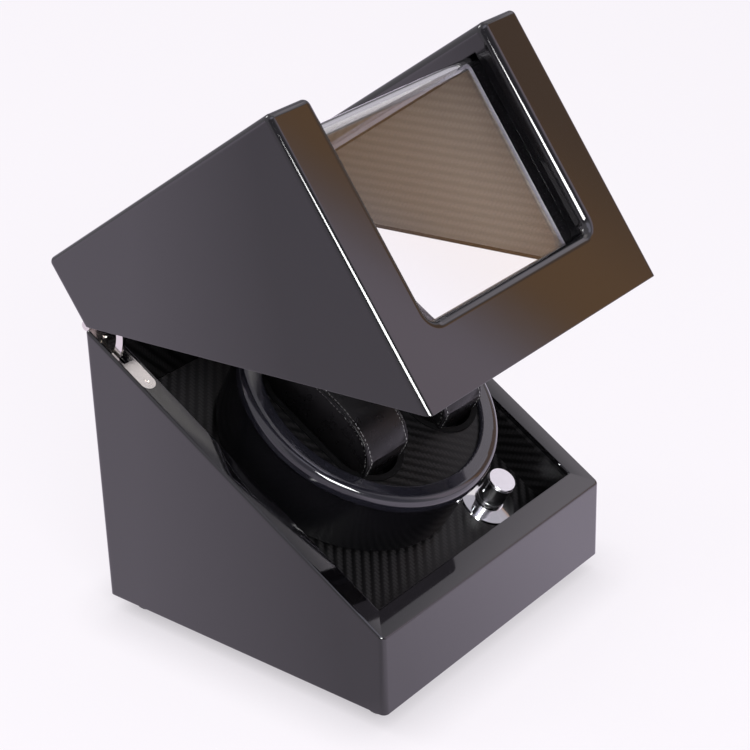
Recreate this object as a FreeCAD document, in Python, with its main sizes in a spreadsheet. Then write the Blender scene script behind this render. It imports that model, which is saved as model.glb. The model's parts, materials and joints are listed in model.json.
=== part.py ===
"""Watch winder box: a lacquered wedge case, a tilted turning drum with pillows and a windowed lid.

The frame has its origin on the table under the middle of the case, +X to the right, +Y to the back
and +Z up. The lid is drawn open, as it stands in use. Sizes are in millimetres.
"""
import FreeCAD, Part
import os
import re
import Sketcher

Vector = FreeCAD.Vector
Rotation = FreeCAD.Rotation

doc = FreeCAD.newDocument("WatchWinder")
sheet = doc.addObject("Spreadsheet::Sheet", "Sizes")

# Driving dimensions
SIZES = {
    # case
    "case_width": 181.2,
    "case_depth": 181.2,
    "front_rim_height": 42.6,
    "back_rim_height": 152.1,
    "lid_back_height": 36.9,
    "wall": 11,
    "corner_radius": 3,
    "rim_radius": 1.5,
    "foot_height": 9,
    "foot_radius": 6,
    "foot_inset": 14,
    "foot_bevel": 1,
    "cover_thickness": 4,
    "cover_ledge": 5,
    "cover_gap": 0.3,
    "cover_screw_inset": 30,
    # clearances and small fasteners
    "fit_gap": 0.05,
    "cut_over": 1,
    "wood_screw_radius": 1.3,
    "wood_screw_head_radius": 2.3,
    "wood_screw_head_height": 1.4,
    "wood_screw_length": 10,
    "drive_slot_width": 0.6,
    "drive_slot_depth": 0.6,
    # deck and liners
    "deck_depth": 26,
    "deck_thickness": 4,
    "deck_gap": 0.3,
    "deck_bore_radius": 11,
    "liner_thickness": 2,
    "liner_drop": 3,
    "cleat_width": 10,
    "cleat_height": 10,
    "cleat_inset": 10,
    # drum
    "drum_setback": 5.3,
    "drum_gap": 1.5,
    "drum_wall": 2.5,
    "drum_floor": 3,
    "drum_foot_radius": 2,
    "flange_reach": 1.1,
    "ring_reach": 8.4,
    "ring_overhang": 2.5,
    "ring_rebate": 3.4,
    "ring_seat": 12,
    "face_thickness": 6,
    "ring_lip_height": 2.5,
    "ring_crown_radius": 4.5,
    "ring_lip_radius": 1.5,
    "face_gap": 0.2,
    "drum_screw_edge": 2.3,
    "drum_screw_radius": 1,
    "drum_screw_head_radius": 1.9,
    "drum_screw_head_height": 1.3,
    "drum_screw_length": 7,
    # pockets and pillows
    "pocket_land": 17,
    "pocket_margin": 2,
    "pocket_depth": 17.5,
    "pocket_wall": 1.5,
    "pocket_lip": 1.5,
    "pocket_lip_height": 0.8,
    "pillow_width": 35,
    "pillow_length": 74,
    "pillow_height": 41.5,
    "pillow_corner": 15,
    "pillow_crown": 2.5,
    "pillow_draw": 0.8,
    "pillow_floor_gap": 0.3,
    "pillow_side_gap": 1,
    "pillow_end_gap": 2.5,
    # spindle, bearing and pulley
    "spindle_radius": 4,
    "bush_wall": 2,
    "bush_flange_radius": 9,
    "bush_flange_thickness": 2.8,
    "thrust_gap": 0.2,
    "hub_radius": 8,
    "hub_height": 12,
    "bearing_plate_radius": 24,
    "bearing_plate_thickness": 3,
    "bearing_boss_radius": 10,
    "bearing_boss_length": 13,
    "bearing_screw_circle": 18,
    "bearing_screw_cover": 1,
    "clip_radius": 7,
    "clip_thickness": 1,
    "clip_groove": 0.7,
    "pulley_drop": 3,
    "pulley_width": 8,
    "pulley_flange": 1.5,
    "pulley_flange_rise": 1.6,
    "drum_pulley_radius": 26,
    "motor_pulley_radius": 6,
    "belt_gap": 0.3,
    "belt_thickness": 1,
    # motor
    "motor_offset": 48,
    "motor_radius": 17,
    "motor_length": 27,
    "motor_lead_height": 9,
    "motor_boss_radius": 5,
    "motor_shaft_radius": 2,
    "motor_shaft_engagement": 5,
    "motor_screw_offset": 12.5,
    "motor_screw_radius": 1.4,
    "motor_screw_head_radius": 2.4,
    "motor_screw_head_height": 1.6,
    "bracket_gap": 3,
    "bracket_thickness": 3,
    "bracket_margin": 6,
    "post_radius": 3,
    "post_spacing_across": 16,
    "post_spacing_along": 40,
    # speed knob and its switch
    "knob_side_inset": 31,
    "knob_station": 32.4,
    "knob_wall": 2.1,
    "knob_height": 15.8,
    "knob_bevel": 0.4,
    "knob_gap": 0.6,
    "knob_collar": 2,
    "knob_lip": 1,
    "knob_groove_width": 0.8,
    "knob_groove_depth": 0.6,
    "knob_index_width": 0.9,
    "knob_index_depth": 0.5,
    "knob_index_length": 9,
    "knob_bore_depth": 9,
    "escutcheon_radius": 15.7,
    "escutcheon_thickness": 0.8,
    "escutcheon_crown_height": 1.2,
    "switch_size": 16,
    "switch_height": 10,
    "switch_neck_radius": 3.5,
    "switch_shaft_radius": 2.5,
    "switch_shaft_engagement": 4,
    "switch_nut_radius": 5,
    "switch_nut_height": 1.8,
    "switch_neck_stand": 0.6,
    "knob_nut_room": 0.4,
    # control board, inlet and leads
    "board_width": 50,
    "board_depth": 40,
    "board_thickness": 1.6,
    "board_center_across": 35,
    "board_center_along": 35,
    "board_post_height": 4,
    "board_post_radius": 2.5,
    "board_post_inset": 4,
    "plug_size": 6,
    "lead_radius": 1.3,
    "jack_height": 28,
    "jack_radius": 3.9,
    "jack_flange_radius": 5.5,
    "jack_flange_thickness": 1.2,
    "jack_length": 14,
    "jack_socket_radius": 2.75,
    "jack_socket_depth": 9.5,
    "jack_pin_radius": 1,
    "jack_panel": 3,
    "jack_recess_radius": 9,
    "jack_nut_radius": 6.2,
    "jack_nut_height": 2,
    # hinges
    "lid_open_angle": 35.3,
    "parting_gap": 0.5,
    "leaf_width": 8.3,
    "leaf_length": 45.6,
    "leaf_thickness": 1.5,
    "leaf_margin": 1.4,
    "leaf_gap": 0.1,
    "knuckle_radius": 2.5,
    "knuckle_length": 2.6,
    "knuckle_gap": 0.3,
    "hinge_pin_radius": 1.2,
    "arm_radius": 20.8,
    "arm_depth": 4.3,
    "arm_width": 1.5,
    "arm_offset": 1.3,
    "arm_sweep": 52.5,
    "arm_hook_sweep": 3.5,
    "arm_hook_reach": 5.4,
    "arm_hook_lap": 0.8,
    "arm_clearance": 0.4,
    "arm_setback": 0.3,
    "leaf_window_margin": 1,
    "leaf_screw_near": 10,
    # lid window and liners
    "stile_width": 28.6,
    "rail_height": 35.2,
    "window_top_length": 134,
    "window_corner_radius": 6,
    "window_edge_radius": 4.5,
    "pane_thickness": 2.5,
    "pane_lap": 8,
    "pane_bend_radius": 7,
    "bezel_thickness": 2,
    "bezel_width": 6.3,
}

# Sizes that follow from the driving ones
DERIVED = {
    "pocket_radius": "pillow_width / 2 + pillow_side_gap + pocket_wall",
    "pocket_half_length": "pillow_length / 2 + pillow_end_gap + pocket_wall",
    "pocket_offset": "pocket_radius + pocket_lip + pocket_land / 2",
    "pocket_end": "pocket_half_length - pocket_radius",
    "pocket_reach": "sqrt(pocket_offset ^ 2 + pocket_end ^ 2) + pocket_radius",
    "ring_inner_radius": "pocket_reach + pocket_margin",
    "drum_radius": "ring_inner_radius + ring_reach",
    "ring_outer_radius": "drum_radius + ring_overhang",
    "drum_flange_inner": "ring_inner_radius - flange_reach",
    "drum_screw_circle": "drum_flange_inner + drum_screw_edge",
    "face_top": "ring_seat + face_thickness",
    "ring_top": "face_top + ring_lip_height",
    "rim_rise": "back_rim_height - front_rim_height",
    "drum_station": "sqrt(case_depth ^ 2 + rim_rise ^ 2) / 2 - drum_setback",
    "knob_radius": "switch_nut_radius + knob_nut_room + knob_wall",
    "knob_offset": "case_width / 2 - wall - knob_side_inset",
}

for row, (size_name, size_value) in enumerate(SIZES.items(), start=1):
    sheet.set(f"A{row}", size_name)
    sheet.set(f"B{row}", str(size_value))
    sheet.setAlias(f"B{row}", size_name)
doc.recompute()

SIZE_WORD = re.compile(r"\b(" + "|".join(SIZES) + r")\b")
DERIVED_WORD = re.compile(r"\b(" + "|".join(DERIVED) + r")\b")


def bind(text):
    """The expression with derived sizes written out and each driving size led by the sheet's name."""
    text = str(text)
    while DERIVED_WORD.search(text):
        text = DERIVED_WORD.sub(lambda found: f"({DERIVED[found[1]]})", text)
    return SIZE_WORD.sub(r"Sizes.\1", text)


def value(text):
    """The number that an expression of sizes comes to."""
    result = sheet.evalExpression(bind(text))
    return float(getattr(result, "Value", result))


# Places that several pieces share, as expressions of the driving dimensions
TILT = "atan(rim_rise / case_depth)"
RIM_FRONT_Z = "(foot_height + front_rim_height)"
HINGE_Y = "(case_depth / 2)"
HINGE_Z = "(foot_height + back_rim_height)"
INNER_X = "(case_width / 2 - wall)"
INNER_Y = "(case_depth / 2 - wall)"
COVER_TOP = "(foot_height + cover_thickness)"
DRUM_Y = f"(drum_station * cos({TILT}) - case_depth / 2)"
DRUM_Z = f"({RIM_FRONT_Z} + drum_station * sin({TILT}))"

# Heights along the drum's axis, from the plane of the rim
DECK_TOP = "(-deck_depth)"
DECK_UNDER = "(-deck_depth - deck_thickness)"
CUP_FLOOR = "(drum_gap - deck_depth)"
BUSH_TOP = f"({DECK_UNDER} + bush_flange_thickness)"
BUSH_BOTTOM = f"({DECK_UNDER} - bearing_plate_thickness - bearing_boss_length)"
HUB_BOTTOM = f"({BUSH_TOP} + thrust_gap)"
HUB_TOP = f"({CUP_FLOOR} + drum_floor + hub_height)"
CLIP_TOP = f"({BUSH_BOTTOM} - thrust_gap)"
PULLEY_TOP = f"({BUSH_BOTTOM} - pulley_drop)"
PULLEY_BOTTOM = f"({PULLEY_TOP} - pulley_width)"
BRACKET_TOP = f"({PULLEY_BOTTOM} - bracket_gap)"
MOTOR_TOP = f"({BRACKET_TOP} - bracket_thickness)"
MOTOR_BOTTOM = f"({MOTOR_TOP} - motor_length)"
POCKET_FLOOR = "(face_top - pocket_depth)"
PILLOW_FLOOR = f"({POCKET_FLOOR} + pillow_floor_gap)"
ESCUTCHEON_EDGE = "(escutcheon_thickness - deck_depth)"
ESCUTCHEON_TOP = f"({ESCUTCHEON_EDGE} + escutcheon_crown_height)"
KNOB_BOTTOM = f"({ESCUTCHEON_TOP} + knob_gap)"
NECK_TOP = f"({ESCUTCHEON_TOP} + switch_nut_height + switch_neck_stand)"
KNOB_HOLLOW_TOP = f"({NECK_TOP} + knob_gap)"
KNOB_BORE_TOP = f"({KNOB_HOLLOW_TOP} + knob_bore_depth)"
KNOB_Y = "(knob_station - drum_station)"
MOTOR_X = "(-motor_offset)"

# Frames that the pieces stand in: a point of the YZ plane and a turn about X
FRAMES = {
    "case": ("0", "0", "0"),
    "deck": (DRUM_Y, DRUM_Z, TILT),
    "hinge": (HINGE_Y, HINGE_Z, TILT),
    "lid": (HINGE_Y, HINGE_Z, "-lid_open_angle"),
    "lid_hinge": (HINGE_Y, HINGE_Z, f"{TILT} - lid_open_angle * 1 deg"),
}
ALONG_X = Rotation(Vector(0, 1, 0), 90)
ALONG_Y = Rotation(Vector(1, 0, 0), -90)
UPRIGHT = Rotation()
QUARTER_TURN = 90
MIRROR_NORMAL = Vector(1, 0, 0)
SAME_LENGTH = 1e-4
BEND_SHARE = 0.8

nodes = {}


def node(label, piece):
    """Name a finished piece, which becomes one of the written sub-parts."""
    piece.Label = label
    nodes[label] = piece
    return piece


def stand(piece, frame, offset_x="0"):
    """Put a finished piece in its frame."""
    base_y, base_z, turn = FRAMES[frame]
    piece.Placement = FreeCAD.Placement(Vector(), Rotation(Vector(1, 0, 0), 1))
    piece.setExpression("Placement.Base.x", bind(offset_x))
    piece.setExpression("Placement.Base.y", bind(base_y))
    piece.setExpression("Placement.Base.z", bind(base_z))
    piece.setExpression("Placement.Rotation.Angle", bind(turn))
    return piece


def put(piece, x, y, z, turn=UPRIGHT):
    """Place a primitive by expressions."""
    piece.Placement = FreeCAD.Placement(Vector(), turn)
    piece.setExpression("Placement.Base.x", bind(x))
    piece.setExpression("Placement.Base.y", bind(y))
    piece.setExpression("Placement.Base.z", bind(z))
    return piece


def box(name, x_span, y_span, z_span):
    """A block between two expressions on each axis."""
    piece = doc.addObject("Part::Box", name)
    for side, (low, high) in zip(("Length", "Width", "Height"), (x_span, y_span, z_span)):
        piece.setExpression(side, bind(f"({high}) - ({low})"))
    return put(piece, x_span[0], y_span[0], z_span[0])


def cylinder(name, radius, x, y, z_span):
    """A round bar that stands along Z."""
    piece = doc.addObject("Part::Cylinder", name)
    piece.setExpression("Radius", bind(radius))
    piece.setExpression("Height", bind(f"({z_span[1]}) - ({z_span[0]})"))
    return put(piece, x, y, z_span[0])


def cone(name, low_radius, high_radius, x, y, z_span):
    """A countersink or a bevelled disc that stands along Z."""
    piece = doc.addObject("Part::Cone", name)
    piece.setExpression("Radius1", bind(low_radius))
    piece.setExpression("Radius2", bind(high_radius))
    piece.setExpression("Height", bind(f"({z_span[1]}) - ({z_span[0]})"))
    return put(piece, x, y, z_span[0])


def bar_along_x(name, radius, x_span, y="0", z="0"):
    """A round bar that lies along X."""
    piece = doc.addObject("Part::Cylinder", name)
    piece.setExpression("Radius", bind(radius))
    piece.setExpression("Height", bind(f"({x_span[1]}) - ({x_span[0]})"))
    return put(piece, x_span[0], y, z, ALONG_X)


def bar_along_y(name, radius, x, z, y_span):
    """A round bar that lies along Y."""
    piece = doc.addObject("Part::Cylinder", name)
    piece.setExpression("Radius", bind(radius))
    piece.setExpression("Height", bind(f"({y_span[1]}) - ({y_span[0]})"))
    return put(piece, x, y_span[0], z, ALONG_Y)


def hexagon(name, radius, x, y, z, height, turn=UPRIGHT):
    """A hexagonal nut's blank."""
    piece = doc.addObject("Part::Prism", name)
    piece.Polygon = 6
    piece.setExpression("Circumradius", bind(radius))
    piece.setExpression("Height", bind(height))
    return put(piece, x, y, z, turn)


def fuse(name, pieces):
    piece = doc.addObject("Part::MultiFuse", name)
    piece.Shapes = pieces
    piece.Refine = True
    return piece


def group(name, pieces):
    """Several solids that share one node."""
    piece = doc.addObject("Part::Compound", name)
    piece.Links = pieces
    return piece


def cut(name, base, tools):
    """The base with each tool taken out of it in turn."""
    for number, tool in enumerate(tools):
        piece = doc.addObject("Part::Cut", f"{name}_{number}")
        piece.Base = base
        piece.Tool = tool
        piece.Refine = True
        base = piece
    return base


def mirror(name, source):
    """The twin of a piece on the other side of the case."""
    piece = doc.addObject("Part::Mirroring", name)
    piece.Source = source
    piece.Base = Vector()
    piece.Normal = MIRROR_NORMAL
    return piece


def outline(body, name, role, corners):
    """A closed sketch of straight edges, each corner held by two bound distances."""
    sketch = body.newObject("Sketcher::SketchObject", name)
    plane = next(item for item in body.Origin.OriginFeatures if item.Role == role)
    sketch.AttachmentSupport = [(plane, "")]
    sketch.MapMode = "FlatFace"
    points = [Vector(value(across), value(up), 0) for across, up in corners]
    count = len(points)
    for index, point in enumerate(points):
        sketch.addGeometry(Part.LineSegment(point, points[(index + 1) % count]))
    for index in range(count):
        sketch.addConstraint(Sketcher.Constraint("Coincident", index, 2, (index + 1) % count, 1))
    for index, (across, up) in enumerate(corners):
        place = points[index]
        for kind, start, text in (("DistanceX", place.x, across), ("DistanceY", place.y, up)):
            number = sketch.addConstraint(Sketcher.Constraint(kind, -1, 1, index, 1, start))
            sketch.setExpression(f"Constraints[{number}]", bind(text))
    return sketch


def prism(name, corners, length, one_sided=False):
    """A body whose outline in the YZ plane is drawn out along X, about the middle or to +X."""
    body = doc.addObject("PartDesign::Body", name)
    pad = body.newObject("PartDesign::Pad", f"{name}_pad")
    pad.Profile = (outline(body, f"{name}_outline", "YZ_Plane", corners), [""])
    pad.SideType = "One side" if one_sided else "Symmetric"
    pad.setExpression("Length", bind(length))
    return body


def turned(name, corners):
    """A body turned about Z from its half section in the XZ plane."""
    body = doc.addObject("PartDesign::Body", name)
    sketch = outline(body, f"{name}_section", "XZ_Plane", corners)
    revolution = body.newObject("PartDesign::Revolution", f"{name}_turn")
    revolution.Profile = (sketch, [""])
    revolution.ReferenceAxis = (sketch, ["V_Axis"])
    revolution.Angle = 360
    return body


def edges_where(shape, test):
    """The names of the edges whose middle point and box pass a test."""
    names = []
    for number, edge in enumerate(shape.Edges, start=1):
        middle = edge.valueAt((edge.FirstParameter + edge.LastParameter) / 2)
        if test(edge.BoundBox, middle):
            names.append(f"Edge{number}")
    return names


def round_edges(body, name, radius, test):
    """Round the edges of a body's last feature that pass a test."""
    doc.recompute()
    base = body.Tip
    fillet = body.newObject("PartDesign::Fillet", name)
    fillet.Base = (base, edges_where(base.Shape, test))
    fillet.setExpression("Radius", bind(radius))
    return fillet


def hollow(body, name, x_span, y_span, z_span):
    """Take a block out of a body."""
    piece = body.newObject("PartDesign::SubtractiveBox", name)
    for side, (low, high) in zip(("Length", "Width", "Height"), (x_span, y_span, z_span)):
        piece.setExpression(side, bind(f"({high}) - ({low})"))
    return put(piece, x_span[0], y_span[0], z_span[0])


def near(first, second):
    """Whether two lengths agree to well within any size of the part."""
    return abs(first - second) < SAME_LENGTH


def stands_along_z(room, middle):
    """Whether an edge is upright."""
    return near(room.XLength, 0) and near(room.YLength, 0)


def span(center, width):
    """The two ends of a width about its centre."""
    return (f"{center} - ({width}) / 2", f"{center} + ({width}) / 2")


def rim_z(y, below="0"):
    """The height in the case of the plane that lies a depth below the rim, square to it."""
    return f"{RIM_FRONT_Z} + (({y}) + case_depth / 2) * tan({TILT}) - ({below}) / cos({TILT})"


def deck_y(case_y, height):
    """The place along the slope of an upright plane of the case, at a height from the rim."""
    return f"((({case_y}) - {DRUM_Y} + ({height}) * sin({TILT})) / cos({TILT}))"


def stadium(name, radius, half_length, x, z_span):
    """A block with two round ends, long way along the slope."""
    straight = f"(({half_length}) - ({radius}))"
    middle = box(f"{name}_middle", span(x, f"2 * ({radius})"), (f"-{straight}", straight), z_span)
    ends = [cylinder(f"{name}_end_{index}", radius, x, f"{sign}{straight}", z_span)
            for index, sign in enumerate(("-", ""))]
    return fuse(name, [middle] + ends)


def depth_span(face, near_depth, far_depth, up):
    """Two depths into a piece from a face that it is entered by, as heights, the lower one first."""
    if up:
        return (f"{face} + ({near_depth})", f"{face} + ({far_depth})")
    return (f"{face} - ({far_depth})", f"{face} - ({near_depth})")


def screw_form(name, x, y, face, up, gap="0"):
    """A flat head flush with a face and a shank that goes up or down from it, larger by a gap."""
    radii = (f"wood_screw_radius + {gap}", f"wood_screw_head_radius + {gap}")
    low_radius, high_radius = reversed(radii) if up else radii
    head = cone(f"{name}_head", low_radius, high_radius, x, y,
                depth_span(face, "0", "wood_screw_head_height", up))
    shank = cylinder(f"{name}_shank", radii[0], x, y,
                     depth_span(face, "wood_screw_head_height", f"wood_screw_length + {gap}", up))
    return fuse(f"{name}_form", [head, shank])


def countersunk_screw(name, x, y, face, up):
    """A wood screw with a crossed driver recess in its flat head."""
    recess = depth_span(face, "-cut_over", "drive_slot_depth", up)
    length, width = "wood_screw_head_radius", "drive_slot_width"
    slots = [box(f"{name}_slot_across", span(x, length), span(y, width), recess),
             box(f"{name}_slot_along", span(x, width), span(y, length), recess)]
    return cut(name, screw_form(name, x, y, face, up), slots)


def countersink(name, x, y, face, up):
    """The hole that such a screw fits, a fit clearance larger all round."""
    return screw_form(name, x, y, face, up, "fit_gap")


def pan_screw(name, x, y, seat, radius, length, head_radius, head_height, up):
    """A pan-head machine screw whose head bears on a seat and whose shank goes up or down from it."""
    shank = cylinder(f"{name}_shank", radius, x, y, depth_span(seat, "0", length, up))
    head = cylinder(f"{name}_head", head_radius, x, y, depth_span(seat, "0", head_height, not up))
    return fuse(name, [shank, head])


def lead(name, points):
    """A round lead along two straight runs, with as large an arc between them as they take."""
    edges = []
    start = points[0]
    for before, corner, after in zip(points, points[1:], points[2:]):
        into = (corner - before).normalize()
        away = (after - corner).normalize()
        reach = BEND_SHARE * min((corner - before).Length, (after - corner).Length)
        bend = reach * ((1 + into.dot(away)) / (1 - into.dot(away))) ** 0.5
        bend_start = corner - into * reach
        bend_end = corner + away * reach
        center_distance = (bend ** 2 + reach ** 2) ** 0.5
        bend_middle = corner + (away - into).normalize() * (center_distance - bend)
        edges.append(Part.LineSegment(start, bend_start).toShape())
        edges.append(Part.Arc(bend_start, bend_middle, bend_end).toShape())
        start = bend_end
    edges.append(Part.LineSegment(start, points[-1]).toShape())
    path = Part.Wire(edges)
    section = Part.Wire(Part.makeCircle(value("lead_radius"), points[0], points[1] - points[0]))
    piece = doc.addObject("Part::Feature", name)
    piece.Shape = path.makePipeShell([section], True, False)
    return piece


def case_point(x, y, z):
    """A point of the case from three expressions."""
    return Vector(value(x), value(y), value(z))


def deck_point(x, y, z):
    """A point of the case from three expressions in the deck's frame."""
    turn = Rotation(Vector(1, 0, 0), value(TILT))
    return turn.multVec(case_point(x, y, z)) + case_point("0", DRUM_Y, DRUM_Z)


# Hinges: both leaves are drawn on the right in a frame at the pin, with -Y down the slope
LEAF_LOW_X = "(case_width / 2 - leaf_margin - leaf_width)"
LEAF_HIGH_X = "(case_width / 2 - leaf_margin)"
LEAF_MIDDLE_X = "(case_width / 2 - leaf_margin - leaf_width / 2)"
LEAF_ROUND_Y = "(leaf_width / 2 - leaf_length)"
LEAF_SCREW_PLACES = ("(-leaf_screw_near)", LEAF_ROUND_Y)
LEAF_SIDES = {"case": ("0", False), "lid": ("parting_gap", True)}
ARM_INNER = "(arm_radius - arm_depth / 2)"
ARM_OUTER = "(arm_radius + arm_depth / 2)"
HOOK_OUTER = f"({ARM_OUTER} + arm_hook_reach)"
ARM_RISE = "asin((parting_gap + leaf_thickness - arm_setback) / arm_radius)"
END_KNUCKLES = ((LEAF_LOW_X, f"{LEAF_LOW_X} + knuckle_length"),
                (f"{LEAF_HIGH_X} - knuckle_length", LEAF_HIGH_X))
MIDDLE_KNUCKLE = (f"{LEAF_LOW_X} + knuckle_length + knuckle_gap",
                  f"{LEAF_HIGH_X} - knuckle_length - knuckle_gap")


def leaf_plate(name, side, gap="0"):
    """The flat of a hinge leaf, square at the knuckle and round at its far end."""
    face, up = LEAF_SIDES[side]
    z_span = depth_span(face, "0", f"leaf_thickness + {gap}", up)
    sides = (f"{LEAF_LOW_X} - {gap}", f"{LEAF_HIGH_X} + {gap}")
    flat = box(f"{name}_flat", sides, (LEAF_ROUND_Y, "0"), z_span)
    end = cylinder(f"{name}_end", f"leaf_width / 2 + {gap}", LEAF_MIDDLE_X, LEAF_ROUND_Y, z_span)
    return fuse(f"{name}_plate", [flat, end])


def arc_strip(name, inner, outer, width, start, sweep):
    """A flat quadrant about the pin, from an angle below the leaf and on down through a sweep."""
    discs = []
    for edge, radius, over in (("outer", outer, "0"), ("inner", inner, "cut_over")):
        disc = doc.addObject("Part::Cylinder", f"{name}_{edge}")
        disc.setExpression("Radius", bind(radius))
        disc.setExpression("Height", bind(f"{width} + 2 * {over}"))
        disc.setExpression("Angle", bind(sweep))
        put(disc, f"{LEAF_MIDDLE_X} + arm_offset - ({width}) / 2 - {over}", "0", "0",
            ALONG_X * Rotation(Vector(0, 0, 1), value(start) - QUARTER_TURN))
        discs.append(disc)
    return cut(f"{name}_strip", discs[0], discs[1:])


def hinge_room(name, side, frame, slot):
    """What the case or the lid loses at a hinge: leaf recess, knuckle room, screw holes and arm slot."""
    face, up = LEAF_SIDES[side]
    knuckle_span = (f"{LEAF_LOW_X} - knuckle_gap", f"{LEAF_HIGH_X} + knuckle_gap")
    tools = [leaf_plate(f"{name}_recess", side, "leaf_gap"),
             bar_along_x(f"{name}_knuckle", "knuckle_radius + knuckle_gap", knuckle_span)]
    tools += [countersink(f"{name}_pilot_{index}", LEAF_MIDDLE_X, y, face, up)
              for index, y in enumerate(LEAF_SCREW_PLACES)]
    if slot:
        tools.append(arc_strip(f"{name}_slot", f"{ARM_INNER} - arm_clearance",
                               f"{HOOK_OUTER} + arm_clearance", "arm_width + 2 * arm_clearance",
                               "0", "arm_sweep + arm_hook_sweep"))
    right = stand(fuse(f"{name}_right", tools), frame)
    return [right, mirror(f"{name}_left", right)]


def hinge_leaf(name, side, knuckles, opening):
    """A leaf with its knuckles, bored for the pin, with screw seats and a hole for the stay arm."""
    face, up = LEAF_SIDES[side]
    other = [MIDDLE_KNUCKLE] if side == "case" else END_KNUCKLES
    barrels = [bar_along_x(f"{name}_knuckle_{index}", "knuckle_radius", ends)
               for index, ends in enumerate(knuckles)]
    rooms = [bar_along_x(f"{name}_room_{index}", "knuckle_radius + knuckle_gap",
                         (f"{low} - knuckle_gap", f"{high} + knuckle_gap"))
             for index, (low, high) in enumerate(other)]
    trimmed = cut(f"{name}_trimmed", leaf_plate(name, side), rooms)
    blank = fuse(f"{name}_blank", [trimmed] + barrels)
    bore = bar_along_x(f"{name}_bore", "hinge_pin_radius + fit_gap",
                       (f"{LEAF_LOW_X} - cut_over", f"{LEAF_HIGH_X} + cut_over"))
    seats = [countersink(f"{name}_seat_{index}", LEAF_MIDDLE_X, y, face, up)
             for index, y in enumerate(LEAF_SCREW_PLACES)]
    return cut(f"{name}_leaf", blank, [bore, opening] + seats)


def pair(label, right):
    """Name a right-hand piece and its mirrored twin."""
    node(f"{label}_right", right)
    node(f"{label}_left", mirror(f"{label}_left", right))


def make_hinges():
    """Two leaves, a pin and a curved stay arm on each side, with their screws."""
    window = box("arm_window", span(LEAF_MIDDLE_X, "leaf_width - 2 * leaf_window_margin"),
                 (f"arm_hook_lap - {HOOK_OUTER}", f"arm_clearance - {ARM_INNER}"),
                 ("-leaf_thickness - cut_over", "cut_over"))
    pair("hinge_leaf_base", stand(hinge_leaf("base", "case", END_KNUCKLES, window), "hinge"))
    pin = bar_along_x("pin", "hinge_pin_radius", (LEAF_LOW_X, LEAF_HIGH_X))
    pair("hinge_pin", stand(group("pin_group", [pin]), "hinge"))
    arm_start = f"-1 * {ARM_RISE}"
    strip = arc_strip("arm", ARM_INNER, ARM_OUTER, "arm_width", arm_start,
                      f"arm_sweep * 1 deg + {ARM_RISE}")
    hook = arc_strip("hook", ARM_INNER, HOOK_OUTER, "arm_width", "arm_sweep - arm_hook_sweep",
                     "arm_hook_sweep")
    arm = fuse("arm_form", [strip, hook])
    lid_leaf = hinge_leaf("lid", "lid", [MIDDLE_KNUCKLE], strip)
    pair("hinge_leaf_lid", stand(lid_leaf, "lid_hinge"))
    pair("stay_arm", stand(arm, "lid_hinge"))
    for side, frame in (("case", "hinge"), ("lid", "lid_hinge")):
        face, up = LEAF_SIDES[side]
        screws = [countersunk_screw(f"hinge_{side}_screw_{index}", LEAF_MIDDLE_X, y, face, up)
                  for index, y in enumerate(LEAF_SCREW_PLACES)]
        right = stand(group(f"hinge_{side}_screws_right", screws), frame)
        left = mirror(f"hinge_{side}_screws_left", right)
        label = "hinge_screws_base" if side == "case" else "hinge_screws_lid"
        node(label, group(label, [right, left]))


COVER_HALF_X = f"({INNER_X} + cover_ledge)"
COVER_HALF_Y = f"({INNER_Y} + cover_ledge)"
JACK_Z = "(foot_height + jack_height)"
JACK_X = "board_center_across"
COVER_SCREW_X = f"({INNER_X} + cover_ledge / 2)"
COVER_SCREW_Y = f"({INNER_Y} - cover_screw_inset)"
COVER_SCREW_PLACES = [(f"{sign_x}{COVER_SCREW_X}", f"{sign_y}{COVER_SCREW_Y}")
                      for sign_x in ("-", "") for sign_y in ("-", "")]
FOOT_PLACES = [(f"{sign_x}(case_width / 2 - foot_inset)", f"{sign_y}(case_depth / 2 - foot_inset)")
               for sign_x in ("-", "") for sign_y in ("-", "")]


def make_base_shell():
    """The wedge case: four lacquered walls, a rebate for the cover, an inlet hole and hinge recesses."""
    front, back = "-case_depth / 2", "case_depth / 2"
    body = prism("base_blank", [(front, "foot_height"), (back, "foot_height"), (back, rim_z(back)),
                                (front, rim_z(front))], "case_width")
    above_bottom = value("foot_height + cut_over")
    round_edges(body, "base_corners", "corner_radius", stands_along_z)
    round_edges(body, "base_rim", "rim_radius",
                lambda room, middle: room.ZMin > above_bottom and not stands_along_z(room, middle))
    hollow(body, "well", (f"-{INNER_X}", INNER_X), (f"-{INNER_Y}", INNER_Y),
           ("0", f"{HINGE_Z} + cut_over"))
    hollow(body, "rebate", (f"-{COVER_HALF_X}", COVER_HALF_X), (f"-{COVER_HALF_Y}", COVER_HALF_Y),
           ("0", COVER_TOP))
    tools = [bar_along_y("inlet_hole", "jack_radius + fit_gap", JACK_X, JACK_Z,
                         (f"{INNER_Y} - cut_over", "case_depth / 2 + cut_over")),
             bar_along_y("inlet_recess", "jack_recess_radius", JACK_X, JACK_Z,
                         (f"{INNER_Y} - cut_over", "case_depth / 2 - jack_panel"))]
    tools += [countersink(f"cover_pilot_{index}", x, y, "foot_height", True)
              for index, (x, y) in enumerate(COVER_SCREW_PLACES)]
    tools += hinge_room("base_room", "case", "hinge", slot=True)
    node("base_shell", cut("base_shell", body, tools))


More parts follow.
